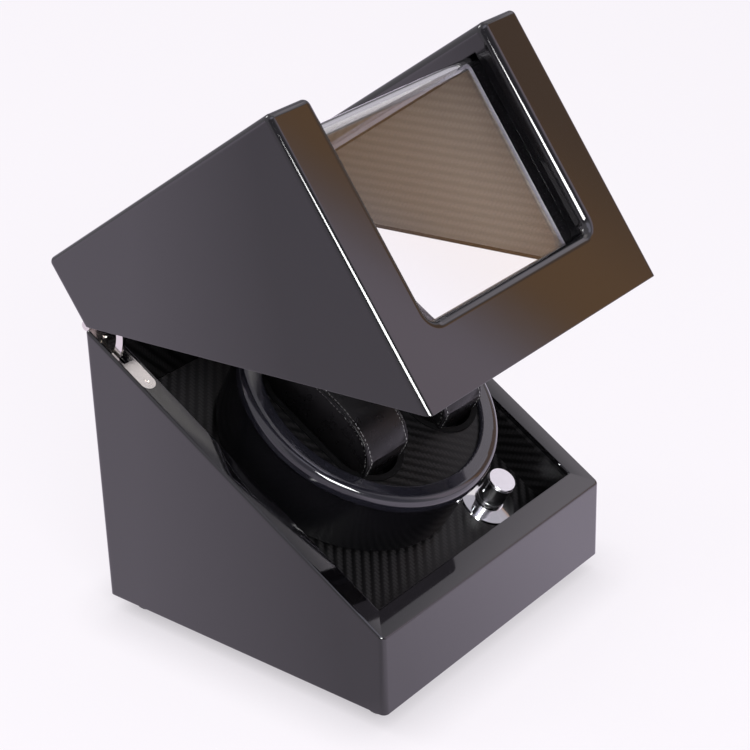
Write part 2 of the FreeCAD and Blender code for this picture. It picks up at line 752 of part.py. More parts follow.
def make_bottom():
    """The cover in its rebate, its screws and the rubber feet."""
    panel = box("cover_panel", (f"cover_gap - {COVER_HALF_X}", f"{COVER_HALF_X} - cover_gap"),
                (f"cover_gap - {COVER_HALF_Y}", f"{COVER_HALF_Y} - cover_gap"), ("foot_height", COVER_TOP))
    seats = [countersink(f"cover_seat_{index}", x, y, "foot_height", True)
             for index, (x, y) in enumerate(COVER_SCREW_PLACES)]
    node("bottom_cover", cut("bottom_cover", panel, seats))
    screws = [countersunk_screw(f"cover_screw_{index}", x, y, "foot_height", True)
              for index, (x, y) in enumerate(COVER_SCREW_PLACES)]
    node("bottom_cover_screws", group("bottom_cover_screws", screws))
    feet = []
    for index, (x, y) in enumerate(FOOT_PLACES):
        tread = cone(f"foot_tread_{index}", "foot_radius - foot_bevel", "foot_radius", x, y,
                     ("0", "foot_bevel"))
        pad = cylinder(f"foot_pad_{index}", "foot_radius", x, y, ("foot_bevel", "foot_height"))
        feet.append(fuse(f"foot_{index}", [tread, pad]))
    node("rubber_feet", group("rubber_feet", feet))


BEARING_SCREW_OFFSET = "(bearing_screw_circle / sqrt(2))"
BEARING_SCREW_PLACES = [(f"{sign_x}{BEARING_SCREW_OFFSET}", f"{sign_y}{BEARING_SCREW_OFFSET}")
                        for sign_x in ("-", "") for sign_y in ("-", "")]
BEARING_SCREW_TIP = f"({DECK_TOP} - bearing_screw_cover)"
BEARING_UNDER = f"({DECK_UNDER} - bearing_plate_thickness)"


def make_deck():
    """The sloping deck, bored for the spindle, the switch and the bearing's screws, and its cleats."""
    front = f"{deck_y(f'-{INNER_Y}', DECK_TOP)} + deck_gap"
    back = f"{deck_y(INNER_Y, DECK_UNDER)} - deck_gap"
    board = box("deck_board", (f"deck_gap - {INNER_X}", f"{INNER_X} - deck_gap"), (front, back),
                (DECK_UNDER, DECK_TOP))
    through = (f"{DECK_UNDER} - cut_over", f"{DECK_TOP} + cut_over")
    holes = [cylinder("deck_bore", "deck_bore_radius", "0", "0", through),
             cylinder("deck_switch_hole", "switch_neck_radius + fit_gap", "knob_offset", KNOB_Y,
                      through)]
    for index, (x, y) in enumerate(BEARING_SCREW_PLACES):
        holes.append(cylinder(f"deck_bearing_hole_{index}", "wood_screw_radius + fit_gap", x, y,
                              (f"{DECK_UNDER} - cut_over", BEARING_SCREW_TIP)))
    node("deck_panel", stand(cut("deck_panel", board, holes), "deck"))
    cleats = []
    cleat_low = f"({DECK_UNDER} - cleat_height)"
    length = (f"{deck_y(f'-{INNER_Y}', DECK_UNDER)} + cleat_inset",
              f"{deck_y(INNER_Y, cleat_low)} - cleat_inset")
    for name, ends in (("left", (f"-{INNER_X}", f"cleat_width - {INNER_X}")),
                       ("right", (f"{INNER_X} - cleat_width", INNER_X))):
        cleats.append(box(f"cleat_{name}", ends, length, (cleat_low, DECK_UNDER)))
    node("deck_cleats", stand(group("deck_cleats", cleats), "deck"))


def liner_corners(front, back):
    """The outline of a liner between two upright planes, from the deck to just below the rim."""
    return [(front, rim_z(front, "deck_depth")), (back, rim_z(back, "deck_depth")),
            (back, rim_z(back, "liner_drop")), (front, rim_z(front, "liner_drop"))]


def make_liners():
    """The four wrapped boards that line the well above the deck."""
    side = prism("liner_right", liner_corners(f"-{INNER_Y}", INNER_Y), "liner_thickness", one_sided=True)
    pair("liner", stand(side, "case", f"{INNER_X} - liner_thickness"))
    width = f"2 * ({INNER_X} - liner_thickness)"
    for label, front, back in (("liner_front", f"-{INNER_Y}", f"liner_thickness - {INNER_Y}"),
                               ("liner_back", f"{INNER_Y} - liner_thickness", INNER_Y)):
        node(label, prism(label, liner_corners(front, back), width))


def make_bearing():
    """The flanged plate under the deck that holds the spindle's bush."""
    bore = "spindle_radius + bush_wall + fit_gap"
    plate = turned("bearing_blank", [(bore, BUSH_BOTTOM), ("bearing_boss_radius", BUSH_BOTTOM),
                                     ("bearing_boss_radius", BEARING_UNDER),
                                     ("bearing_plate_radius", BEARING_UNDER),
                                     ("bearing_plate_radius", DECK_UNDER), (bore, DECK_UNDER)])
    holes = [cylinder(f"bearing_hole_{index}", "wood_screw_radius + fit_gap", x, y,
                      (f"{BEARING_UNDER} - cut_over", f"{DECK_UNDER} + cut_over"))
             for index, (x, y) in enumerate(BEARING_SCREW_PLACES)]
    node("bearing_plate", stand(cut("bearing_plate", plate, holes), "deck"))
    length = f"{BEARING_SCREW_TIP} - fit_gap - {BEARING_UNDER}"
    screws = [pan_screw(f"bearing_screw_{index}", x, y, BEARING_UNDER, "wood_screw_radius", length,
                        "wood_screw_head_radius", "wood_screw_head_height", True)
              for index, (x, y) in enumerate(BEARING_SCREW_PLACES)]
    node("bearing_plate_screws", stand(group("bearing_plate_screws", screws), "deck"))
    inside, outside = "spindle_radius + fit_gap", "spindle_radius + bush_wall"
    bush = turned("spindle_bush", [(inside, BUSH_BOTTOM), (outside, BUSH_BOTTOM), (outside, DECK_UNDER),
                                   ("bush_flange_radius", DECK_UNDER), ("bush_flange_radius", BUSH_TOP),
                                   (inside, BUSH_TOP)])
    node("spindle_bush", stand(bush, "deck"))


DRUM_SCREW_PLACES = [("drum_screw_circle", "0"), ("-drum_screw_circle", "0"),
                     ("0", "drum_screw_circle"), ("0", "-drum_screw_circle")]
FLANGE_UNDER = "(ring_seat - drum_wall)"
FACE_RADIUS = "(ring_inner_radius + ring_rebate - face_gap)"


def make_drum():
    """The turning cup, its carbon face board, the glossy ring and the screws that hold them."""
    bore = "spindle_radius + fit_gap"
    inner = "drum_radius - drum_wall"
    floor_top = f"{CUP_FLOOR} + drum_floor"
    cup = turned("cup_blank", [(bore, HUB_BOTTOM), ("hub_radius", HUB_BOTTOM), ("hub_radius", CUP_FLOOR),
                               ("drum_radius", CUP_FLOOR), ("drum_radius", "ring_seat"),
                               ("drum_flange_inner", "ring_seat"), ("drum_flange_inner", FLANGE_UNDER),
                               (inner, FLANGE_UNDER), (inner, floor_top), ("hub_radius", floor_top),
                               ("hub_radius", HUB_TOP), (bore, HUB_TOP)])
    floor, wall_inside = value(CUP_FLOOR), value(inner)
    round_edges(cup, "cup_foot", "drum_foot_radius",
                lambda room, middle: near(room.ZMin, floor) and near(room.ZLength, 0)
                and room.XMax > wall_inside)
    through = (f"{FLANGE_UNDER} - cut_over", f"{FLANGE_UNDER} + drum_screw_length + fit_gap")
    screw_holes = [cylinder(f"drum_hole_{index}", "drum_screw_radius + fit_gap", x, y, through)
                   for index, (x, y) in enumerate(DRUM_SCREW_PLACES)]
    node("drum_cup", stand(cut("drum_cup", cup, screw_holes), "deck"))
    screws = [pan_screw(f"drum_screw_{index}", x, y, FLANGE_UNDER, "drum_screw_radius",
                        "drum_screw_length", "drum_screw_head_radius", "drum_screw_head_height", True)
              for index, (x, y) in enumerate(DRUM_SCREW_PLACES)]
    node("drum_screws", stand(group("drum_screws", screws), "deck"))
    disc = cylinder("face_disc", FACE_RADIUS, "0", "0", ("ring_seat", "face_top"))
    pockets = [stadium(f"face_pocket_{index}", "pocket_radius + face_gap",
                       "pocket_half_length + face_gap", f"{sign}pocket_offset",
                       ("ring_seat - cut_over", "face_top + cut_over"))
               for index, sign in enumerate(("-", ""))]
    node("drum_face", stand(cut("drum_face", disc, pockets + screw_holes), "deck"))
    rebate = "ring_inner_radius + ring_rebate"
    ring = turned("drum_ring", [("ring_inner_radius", "face_top"), (rebate, "face_top"),
                                (rebate, "ring_seat"), ("ring_outer_radius", "ring_seat"),
                                ("ring_outer_radius", "ring_top"), ("ring_inner_radius", "ring_top")])
    top, seat = value("ring_top"), value("ring_seat")
    ring_inner, ring_outer = value("ring_inner_radius"), value("ring_outer_radius")
    round_edges(ring, "ring_crown", "ring_crown_radius",
                lambda room, middle: near(room.ZMax, top) and near(room.ZLength, 0)
                and near(room.XMax, ring_outer))
    round_edges(ring, "ring_lip", "ring_lip_radius",
                lambda room, middle: near(room.ZLength, 0) and (
                    near(room.ZMax, top) and near(room.XMax, ring_inner)
                    or near(room.ZMax, seat) and near(room.XMax, ring_outer)))
    node("drum_ring", stand(ring, "deck"))


def make_pockets():
    """The two trays that hang in the face by their lips."""
    for label, x in (("pocket_left", "-pocket_offset"), ("pocket_right", "pocket_offset")):
        tray = stadium(f"{label}_tray", "pocket_radius", "pocket_half_length", x,
                       (f"{POCKET_FLOOR} - pocket_wall", "face_top"))
        lip = stadium(f"{label}_lip", "pocket_radius + pocket_lip", "pocket_half_length + pocket_lip", x,
                      ("face_top", "face_top + pocket_lip_height"))
        room = stadium(f"{label}_room", "pocket_radius - pocket_wall",
                       "pocket_half_length - pocket_wall", x,
                       (POCKET_FLOOR, "face_top + pocket_lip_height + cut_over"))
        node(label, stand(cut(label, fuse(f"{label}_blank", [tray, lip]), [room]), "deck"))


# A pillow's outline at five levels: shares of its side's height, of its half width and of its half
# length. The crown above them has shares of the half width and the half length alone.
PILLOW_LEVELS = ((0.0, 0.90, 0.80), (0.2, 0.98, 0.94), (0.5, 1.0, 1.0), (0.8, 0.99, 0.90),
                 (0.95, 0.94, 0.66))
PILLOW_CROWN = (0.62, 0.36)
PILLOW_CORNER_SHARE = 0.86
ROOT_HALF = 0.5 ** 0.5


def pillow_section(half_width, half_length, corner, draw, height):
    """A closed outline with four round corners and sides that draw in between them."""
    corner = min(corner, PILLOW_CORNER_SHARE * half_width, PILLOW_CORNER_SHARE * half_length)
    straight_x, straight_y = half_width - corner, half_length - corner
    bevel = corner * ROOT_HALF
    edges = []
    for sign_x, sign_y in ((1, 1), (-1, 1), (-1, -1), (1, -1)):
        center = Vector(sign_x * straight_x, sign_y * straight_y, height)
        side = Vector(sign_x * half_width, sign_y * straight_y, height)
        end = Vector(sign_x * straight_x, sign_y * half_length, height)
        corner_middle = center + Vector(sign_x * bevel, sign_y * bevel, 0)
        if sign_x == sign_y:
            edges.append(Part.Arc(side, corner_middle, end).toShape())
            edges.append(Part.LineSegment(end, Vector(-end.x, end.y, height)).toShape())
        else:
            edges.append(Part.Arc(end, corner_middle, side).toShape())
            drawn = Vector(side.x - sign_x * draw, 0, height)
            edges.append(Part.Arc(side, drawn, Vector(side.x, -side.y, height)).toShape())
    return Part.Wire(edges)


def make_pillows():
    """Two padded pillows, oval from the side, with a crown and drawn-in sides."""
    half_width, half_length = value("pillow_width / 2"), value("pillow_length / 2")
    corner, draw = value("pillow_corner"), value("pillow_draw")
    side_height = value("pillow_height - pillow_crown")
    sections = [pillow_section(half_width * wide, half_length * long, corner, draw, side_height * share)
                for share, wide, long in PILLOW_LEVELS]
    wide, long = PILLOW_CROWN
    sections.append(pillow_section(half_width * wide, half_length * long, corner, draw,
                                   value("pillow_height")))
    form = Part.makeLoft(sections, True, False)
    for label, x in (("pillow_left", "-pocket_offset"), ("pillow_right", "pocket_offset")):
        pillow = doc.addObject("Part::Feature", f"{label}_form")
        pillow.Shape = form
        node(label, stand(group(label, [put(pillow, x, "0", PILLOW_FLOOR)]), "deck"))


def pulley(name, belt_radius, bore):
    """A flat-belt pulley with a flange on each side."""
    flange = f"{belt_radius} + pulley_flange_rise"
    low, high = f"{PULLEY_BOTTOM} + pulley_flange", f"{PULLEY_TOP} - pulley_flange"
    return turned(name, [(bore, PULLEY_BOTTOM), (flange, PULLEY_BOTTOM), (flange, low),
                         (belt_radius, low), (belt_radius, high), (flange, high),
                         (flange, PULLEY_TOP), (bore, PULLEY_TOP)])


def make_spindle():
    """The spindle under the drum, its clip and its pulley."""
    groove_top, groove_low = f"{CLIP_TOP} + fit_gap", f"{CLIP_TOP} - clip_thickness - fit_gap"
    top, bottom = f"{HUB_TOP} - fit_gap", PULLEY_BOTTOM
    neck = "spindle_radius - clip_groove"
    spindle = turned("spindle", [("0", bottom), ("spindle_radius", bottom), ("spindle_radius", groove_low),
                                 (neck, groove_low), (neck, groove_top), ("spindle_radius", groove_top),
                                 ("spindle_radius", top), ("0", top)])
    node("spindle", stand(spindle, "deck"))
    clip_inner = "spindle_radius - clip_groove + fit_gap"
    clip = turned("spindle_clip", [(clip_inner, f"{CLIP_TOP} - clip_thickness"),
                                   ("clip_radius", f"{CLIP_TOP} - clip_thickness"),
                                   ("clip_radius", CLIP_TOP), (clip_inner, CLIP_TOP)])
    node("spindle_clip", stand(clip, "deck"))
    large = pulley("drum_pulley", "drum_pulley_radius", "spindle_radius + fit_gap")
    node("drum_pulley", stand(large, "deck"))


def belt_loop(name, grow):
    """The solid inside a belt, grown by a thickness: two discs and the block between their tangents."""
    z_span = (f"{PULLEY_BOTTOM} + pulley_flange + belt_gap", f"{PULLEY_TOP} - pulley_flange - belt_gap")
    large = value(f"drum_pulley_radius + belt_gap + {grow}")
    small = value(f"motor_pulley_radius + belt_gap + {grow}")
    distance = value("motor_offset")
    lean = (large - small) / distance
    rise = (1 - lean ** 2) ** 0.5
    low = value(z_span[0])
    top_large = Vector(-large * lean, large * rise, low)
    top_small = Vector(-distance - small * lean, small * rise, low)
    low_large = Vector(top_large.x, -top_large.y, low)
    low_small = Vector(top_small.x, -top_small.y, low)
    edges = [Part.LineSegment(top_large, top_small),
             Part.Arc(top_small, Vector(-distance - small, 0, low), low_small),
             Part.LineSegment(low_small, low_large),
             Part.Arc(low_large, Vector(large, 0, low), top_large)]
    face = Part.Face(Part.Wire([edge.toShape() for edge in edges]))
    piece = doc.addObject("Part::Feature", name)
    piece.Shape = face.extrude(Vector(0, 0, value(z_span[1]) - low))
    return piece


POST_PLACES = [(f"{MOTOR_X} {sign_x} post_spacing_across / 2", f"{sign_y}post_spacing_along / 2")
               for sign_x in ("-", "+") for sign_y in ("-", "")]
MOTOR_SCREW_PLACES = [(MOTOR_X, "-motor_screw_offset"), (MOTOR_X, "motor_screw_offset")]
MOTOR_SCREW_LENGTH = "(2 * bracket_thickness)"


def make_drive():
    """The geared motor on its bracket and posts, its shaft and pulley, and the belt."""
    posts = [cylinder(f"post_{index}", "post_radius", x, y, (BRACKET_TOP, DECK_UNDER))
             for index, (x, y) in enumerate(POST_PLACES)]
    node("motor_posts", stand(group("motor_posts", posts), "deck"))
    plate = box("bracket_plate", span(MOTOR_X, "post_spacing_across + 2 * bracket_margin"),
                span("0", "post_spacing_along + 2 * bracket_margin"), (MOTOR_TOP, BRACKET_TOP))
    through = (f"{MOTOR_TOP} - cut_over", f"{BRACKET_TOP} + cut_over")
    holes = [cylinder("bracket_bore", "motor_boss_radius + face_gap", MOTOR_X, "0", through)]
    screw_span = (f"{BRACKET_TOP} - {MOTOR_SCREW_LENGTH} - fit_gap", f"{BRACKET_TOP} + cut_over")
    hole_radius = "motor_screw_radius + fit_gap"
    screw_holes = [cylinder(f"motor_screw_hole_{index}", hole_radius, x, y, screw_span)
                   for index, (x, y) in enumerate(MOTOR_SCREW_PLACES)]
    node("motor_bracket", stand(cut("motor_bracket", plate, holes + screw_holes), "deck"))
    screws = [pan_screw(f"motor_screw_{index}", x, y, BRACKET_TOP, "motor_screw_radius",
                        MOTOR_SCREW_LENGTH, "motor_screw_head_radius", "motor_screw_head_height", False)
              for index, (x, y) in enumerate(MOTOR_SCREW_PLACES)]
    node("motor_screws", stand(group("motor_screws", screws), "deck"))
    housing = cylinder("motor_body", "motor_radius", MOTOR_X, "0", (MOTOR_BOTTOM, MOTOR_TOP))
    boss = cylinder("motor_boss", "motor_boss_radius", MOTOR_X, "0", (MOTOR_TOP, BRACKET_TOP))
    can = fuse("motor_can", [housing, boss])
    shaft_low = f"{MOTOR_TOP} - motor_shaft_engagement"
    bore = cylinder("motor_bore", "motor_shaft_radius + fit_gap", MOTOR_X, "0",
                    (f"{shaft_low} - fit_gap", f"{BRACKET_TOP} + cut_over"))
    node("motor", stand(cut("motor", can, [bore] + screw_holes), "deck"))
    shaft = cylinder("shaft_bar", "motor_shaft_radius", MOTOR_X, "0", (shaft_low, PULLEY_TOP))
    node("motor_shaft", stand(group("motor_shaft", [shaft]), "deck"))
    small = pulley("motor_pulley_form", "motor_pulley_radius", "motor_shaft_radius + fit_gap")
    small.setExpression("Placement.Base.x", bind(MOTOR_X))
    node("motor_pulley", stand(group("motor_pulley", [small]), "deck"))
    belt_room = belt_loop("belt_inside", "0")
    belt = cut("drive_belt", belt_loop("belt_outside", "belt_thickness"), [belt_room])
    node("drive_belt", stand(belt, "deck"))


KNOB_REST_TURN = -114


def make_knob():
    """The selector: switch and nut, chrome escutcheon, shaft and knob."""
    x, y = "knob_offset", KNOB_Y
    case = box("switch_case", span(x, "switch_size"), span(y, "switch_size"),
               (f"{DECK_UNDER} - switch_height", DECK_UNDER))
    neck = cylinder("switch_neck", "switch_neck_radius", x, y, (DECK_UNDER, NECK_TOP))
    shaft_low = f"{NECK_TOP} - switch_shaft_engagement"
    bore = cylinder("switch_bore", "switch_shaft_radius + fit_gap", x, y,
                    (f"{shaft_low} - fit_gap", f"{NECK_TOP} + cut_over"))
    node("mode_switch", stand(cut("mode_switch", fuse("switch_blank", [case, neck]), [bore]), "deck"))
    hole_span = (f"{DECK_TOP} - cut_over", f"{NECK_TOP} + cut_over")
    hole = cylinder("neck_hole", "switch_neck_radius + fit_gap", x, y, hole_span)
    nut = hexagon("nut_blank", "switch_nut_radius", x, y, ESCUTCHEON_TOP, "switch_nut_height")
    node("switch_nut", stand(cut("switch_nut", nut, [hole]), "deck"))
    shoulder = "escutcheon_radius - escutcheon_thickness"
    edge = cone("escutcheon_edge", "escutcheon_radius", shoulder, x, y, (DECK_TOP, ESCUTCHEON_EDGE))
    crown = cone("escutcheon_crown", shoulder, "knob_radius + knob_gap", x, y,
                 (ESCUTCHEON_EDGE, ESCUTCHEON_TOP))
    plate = fuse("escutcheon_blank", [edge, crown])
    node("knob_escutcheon", stand(cut("knob_escutcheon", plate, [hole]), "deck"))
    shaft = cylinder("knob_bar", "switch_shaft_radius", x, y, (shaft_low, f"{KNOB_BORE_TOP} - fit_gap"))
    node("knob_shaft", stand(group("knob_shaft", [shaft]), "deck"))
    room = "switch_nut_radius + knob_nut_room"
    bore_radius = "switch_shaft_radius + fit_gap"
    collar = f"{KNOB_BOTTOM} + knob_collar"
    top = f"{KNOB_BOTTOM} + knob_height"
    groove = "knob_radius - knob_groove_depth"
    groove_top = f"{collar} + knob_groove_width"
    lip = f"{top} - knob_lip"
    lip_groove = f"{lip} - knob_groove_width"
    form = turned("knob_form", [(room, KNOB_BOTTOM), ("knob_radius", KNOB_BOTTOM),
                                ("knob_radius", collar), (groove, collar), (groove, groove_top),
                                ("knob_radius", groove_top), ("knob_radius", lip_groove),
                                (groove, lip_groove), (groove, lip), ("knob_radius", lip),
                                ("knob_radius", f"{top} - knob_bevel"),
                                ("knob_radius - knob_bevel", top), ("0", top), ("0", KNOB_BORE_TOP),
                                (bore_radius, KNOB_BORE_TOP), (bore_radius, KNOB_HOLLOW_TOP),
                                (room, KNOB_HOLLOW_TOP)])
    index = box("knob_index", span("0", "knob_index_width"),
                ("-knob_radius - cut_over", "knob_index_depth - knob_radius"),
                (f"{top} - knob_index_length", f"{top} + cut_over"))
    knob = cut("knob_marked", form, [index])
    put(knob, x, y, "0", Rotation(Vector(0, 0, 1), KNOB_REST_TURN))
    node("knob", stand(group("knob", [knob]), "deck"))


BOARD_LOW = f"({COVER_TOP} + board_post_height)"
BOARD_TOP = f"({BOARD_LOW} + board_thickness)"
PLUG_TOP = f"({BOARD_TOP} + plug_size)"
JACK_INNER_Y = "(case_depth / 2 - jack_length)"
MOTOR_EXIT = ("(motor_radius - motor_offset)", "0", f"({MOTOR_BOTTOM} + motor_lead_height)")
SWITCH_EXIT = ("knob_offset", KNOB_Y, f"({DECK_UNDER} - switch_height)")


def make_electrics():
    """The control board on its posts, the power inlet and the three leads."""
    across, along = span("board_center_across", "board_width"), span("board_center_along", "board_depth")
    motor_exit, switch_exit = deck_point(*MOTOR_EXIT), deck_point(*SWITCH_EXIT)
    board = box("board_sheet", across, along, (BOARD_LOW, BOARD_TOP))
    plug_rows = {"power": (JACK_X, f"{along[1]} - plug_size"),
                 "motor": (f"{across[0]} + plug_size", str(motor_exit.y)),
                 "switch": ("knob_offset", f"{along[0]} + plug_size")}
    plugs = [box(f"plug_{name}", span(x, "plug_size"), span(y, "plug_size"), (BOARD_TOP, PLUG_TOP))
             for name, (x, y) in plug_rows.items()]
    node("control_board", fuse("control_board", [board] + plugs))
    inset = "board_post_inset"
    posts = [cylinder(f"board_post_{index}_{number}", "board_post_radius", x, y, (COVER_TOP, BOARD_LOW))
             for index, x in enumerate((f"{across[0]} + {inset}", f"{across[1]} - {inset}"))
             for number, y in enumerate((f"{along[0]} + {inset}", f"{along[1]} - {inset}"))]
    node("board_posts", group("board_posts", posts))
    barrel = bar_along_y("jack_barrel", "jack_radius", JACK_X, JACK_Z, (JACK_INNER_Y, "case_depth / 2"))
    flange = bar_along_y("jack_flange", "jack_flange_radius", JACK_X, JACK_Z,
                         ("case_depth / 2", "case_depth / 2 + jack_flange_thickness"))
    mouth = "case_depth / 2 + jack_flange_thickness"
    socket = bar_along_y("jack_socket", "jack_socket_radius", JACK_X, JACK_Z,
                         (f"{mouth} - jack_socket_depth", f"{mouth} + cut_over"))
    pin = bar_along_y("jack_pin", "jack_pin_radius", JACK_X, JACK_Z,
                      (f"{mouth} - jack_socket_depth", "case_depth / 2"))
    housing = cut("jack_housing", fuse("jack_blank", [barrel, flange]), [socket])
    node("dc_jack", fuse("dc_jack", [housing, pin]))
    nut_y = "case_depth / 2 - jack_panel - jack_nut_height"
    nut = hexagon("jack_nut_blank", "jack_nut_radius", JACK_X, nut_y, JACK_Z, "jack_nut_height", ALONG_Y)
    thread = bar_along_y("jack_nut_thread", "jack_radius + fit_gap", JACK_X, JACK_Z,
                         (f"{nut_y} - cut_over", "case_depth / 2"))
    node("dc_jack_nut", cut("dc_jack_nut", nut, [thread]))
    power_y = plug_rows["power"][1]
    power_points = [case_point(JACK_X, JACK_INNER_Y, JACK_Z), case_point(JACK_X, power_y, JACK_Z),
                    case_point(JACK_X, power_y, PLUG_TOP)]
    node("power_lead", lead("power_lead", power_points))
    motor_x = value(plug_rows["motor"][0])
    motor_points = [motor_exit, Vector(motor_x, motor_exit.y, motor_exit.z),
                    Vector(motor_x, motor_exit.y, value(PLUG_TOP))]
    node("motor_lead", lead("motor_lead", motor_points))
    down = deck_point("0", "0", "-1") - deck_point("0", "0", "0")
    plug_middle = value(f"{BOARD_TOP} + plug_size / 2")
    corner = switch_exit + down * ((switch_exit.z - plug_middle) / -down.z)
    plug_face = Vector(corner.x, value(f"{plug_rows['switch'][1]} - plug_size / 2"), corner.z)
    node("switch_lead", lead("switch_lead", [switch_exit, corner, plug_face]))


# Lid: drawn shut in a frame at the hinge pin, then turned open about it
LID_RISE = "rim_rise"
LID_TOP = "lid_back_height"
LID_UNDER = f"(parting_gap / cos({TILT}))"
LID_FRONT = "(-case_depth)"
WINDOW_HALF = "(case_width / 2 - stile_width)"
WINDOW_LOW = f"(rail_height - {LID_RISE})"
WINDOW_BACK = f"({LID_FRONT} + window_top_length)"
PANE_FRONT = f"({LID_FRONT} + wall)"
PANE_TOP = f"({LID_TOP} - wall)"
PANE_HALF = f"({WINDOW_HALF} + pane_lap)"


def make_lid_shell():
    """The lacquered lid: sharp where it parts, rounded elsewhere, with a window over front and top."""
    body = prism("lid_blank", [(LID_FRONT, f"{LID_UNDER} - {LID_RISE}"), ("0", LID_UNDER),
                               ("0", LID_TOP), (LID_FRONT, LID_TOP)], "case_width")
    top = value(LID_TOP)
    round_edges(body, "lid_corners", "corner_radius", stands_along_z)
    round_edges(body, "lid_top_edges", "corner_radius",
                lambda room, middle: near(room.ZMin, top) and near(room.ZMax, top))
    hollow(body, "lid_room", (f"-{INNER_X}", INNER_X), (PANE_FRONT, "-wall"),
           (f"-{LID_RISE} - cut_over", PANE_TOP))
    hollow(body, "lid_window", (f"-{WINDOW_HALF}", WINDOW_HALF),
           (f"{LID_FRONT} - cut_over", WINDOW_BACK), (WINDOW_LOW, f"{LID_TOP} + cut_over"))
    half, low, back = value(WINDOW_HALF), value(WINDOW_LOW), value(WINDOW_BACK)
    front, reach = value(LID_FRONT), value("cut_over")

    def at_corner(room, middle):
        """Whether an edge of the opening goes through the wall at one of its four corners."""
        at_low = near(room.ZMin, low) and near(room.ZMax, low) and room.YLength > reach
        at_back = near(room.YMin, back) and near(room.YMax, back) and room.ZLength > reach
        return near(abs(middle.x), half) and near(room.XLength, 0) and (at_low or at_back)

    def round_the_opening(room, middle):
        """Whether an edge of the opening lies on the lid's front or top face."""
        on_a_face = near(room.YMin, front) or near(room.ZMax, top)
        within = max(abs(room.XMin), abs(room.XMax)) < half + reach
        return on_a_face and within and room.YMin < back + reach and room.ZMax > low - reach

    round_edges(body, "window_corners", "window_corner_radius", at_corner)
    round_edges(body, "window_edges", "window_edge_radius", round_the_opening)
    stand(body, "lid")
    node("lid_shell", cut("lid_shell", body, hinge_room("lid_room_cut", "lid", "lid_hinge", slot=False)))


def bent_sheet(name, inset, thickness, low, back, half_width):
    """A sheet bent once over the front top edge, set in from the lid's inner faces."""
    front, top = f"({PANE_FRONT} + {inset})", f"({PANE_TOP} - {inset})"
    body = prism(name, [(front, low), (f"{front} + {thickness}", low),
                        (f"{front} + {thickness}", f"{top} - {thickness}"), (back, f"{top} - {thickness}"),
                        (back, top), (front, top)], f"2 * ({half_width})")
    outer_y, outer_z = value(front), value(top)
    inner_y, inner_z = value(f"{front} + {thickness}"), value(f"{top} - {thickness}")
    round_edges(body, f"{name}_outer_bend", f"pane_bend_radius - {inset}",
                lambda room, middle: near(room.YMin, outer_y) and near(room.YMax, outer_y)
                and near(room.ZMin, outer_z) and near(room.ZMax, outer_z))
    round_edges(body, f"{name}_inner_bend", f"pane_bend_radius - {inset} - {thickness}",
                lambda room, middle: near(room.YMin, inner_y) and near(room.YMax, inner_y)
                and near(room.ZMin, inner_z) and near(room.ZMax, inner_z))
    return body


def make_window():
    """The clear bent pane behind the frame, and the black bezel glued behind its border."""
    low, back = f"({WINDOW_LOW} - pane_lap)", f"({WINDOW_BACK} + pane_lap)"
    pane = bent_sheet("window_pane", "0", "pane_thickness", low, back, PANE_HALF)
    node("window_pane", stand(pane, "lid"))
    band = bent_sheet("bezel_blank", "pane_thickness", "bezel_thickness", low, back, PANE_HALF)
    hollow(band, "bezel_window", (f"bezel_width - {WINDOW_HALF}", f"{WINDOW_HALF} - bezel_width"),
           (f"{LID_FRONT} - cut_over", f"{WINDOW_BACK} - bezel_width"),
           (WINDOW_LOW, f"{LID_TOP} + cut_over"))
    node("window_bezel", stand(band, "lid"))


def lid_under(y):
    """The height of the lid's liners above the parting plane, in the lid's frame."""
    return f"({y}) * tan({TILT}) + (parting_gap + liner_drop) / cos({TILT})"


def make_lid_liners():
    """The two wrapped cheeks inside the lid."""
    front, back = PANE_FRONT, "(-wall)"
    side = prism("lid_liner_right", [(front, lid_under(front)), (back, lid_under(back)),
                                     (back, PANE_TOP), (front, PANE_TOP)],
                 "liner_thickness", one_sided=True)
    pair("lid_liner", stand(side, "lid", f"{INNER_X} - liner_thickness"))


make_base_shell()
make_bottom()
make_deck()
make_liners()
make_bearing()
make_drum()
make_pockets()
make_pillows()
make_spindle()
make_drive()
make_knob()
make_electrics()
make_lid_shell()
make_window()
make_lid_liners()
make_hinges()
doc.recompute()

for item in doc.Objects:
    if "Invalid" in item.State or "Error" in item.State:
        raise RuntimeError(f"{item.Label} did not build: {item.State}")
for label, piece in nodes.items():
    if piece.Shape.isNull() or not piece.Shape.isValid() or not piece.Shape.Solids:
        raise RuntimeError(f"{label} has no valid solid")

os.makedirs("parts", exist_ok=True)
for label, piece in nodes.items():
    piece.Shape.exportStep(f"parts/{label}.step")
print(len(nodes), "sub-parts written")
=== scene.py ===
"""Looks of the watch winder box: camera, floor, light, materials and the padded pillows."""

import bpy
import json
import math
from mathutils import Matrix, Vector
from mathutils.bvhtree import BVHTree


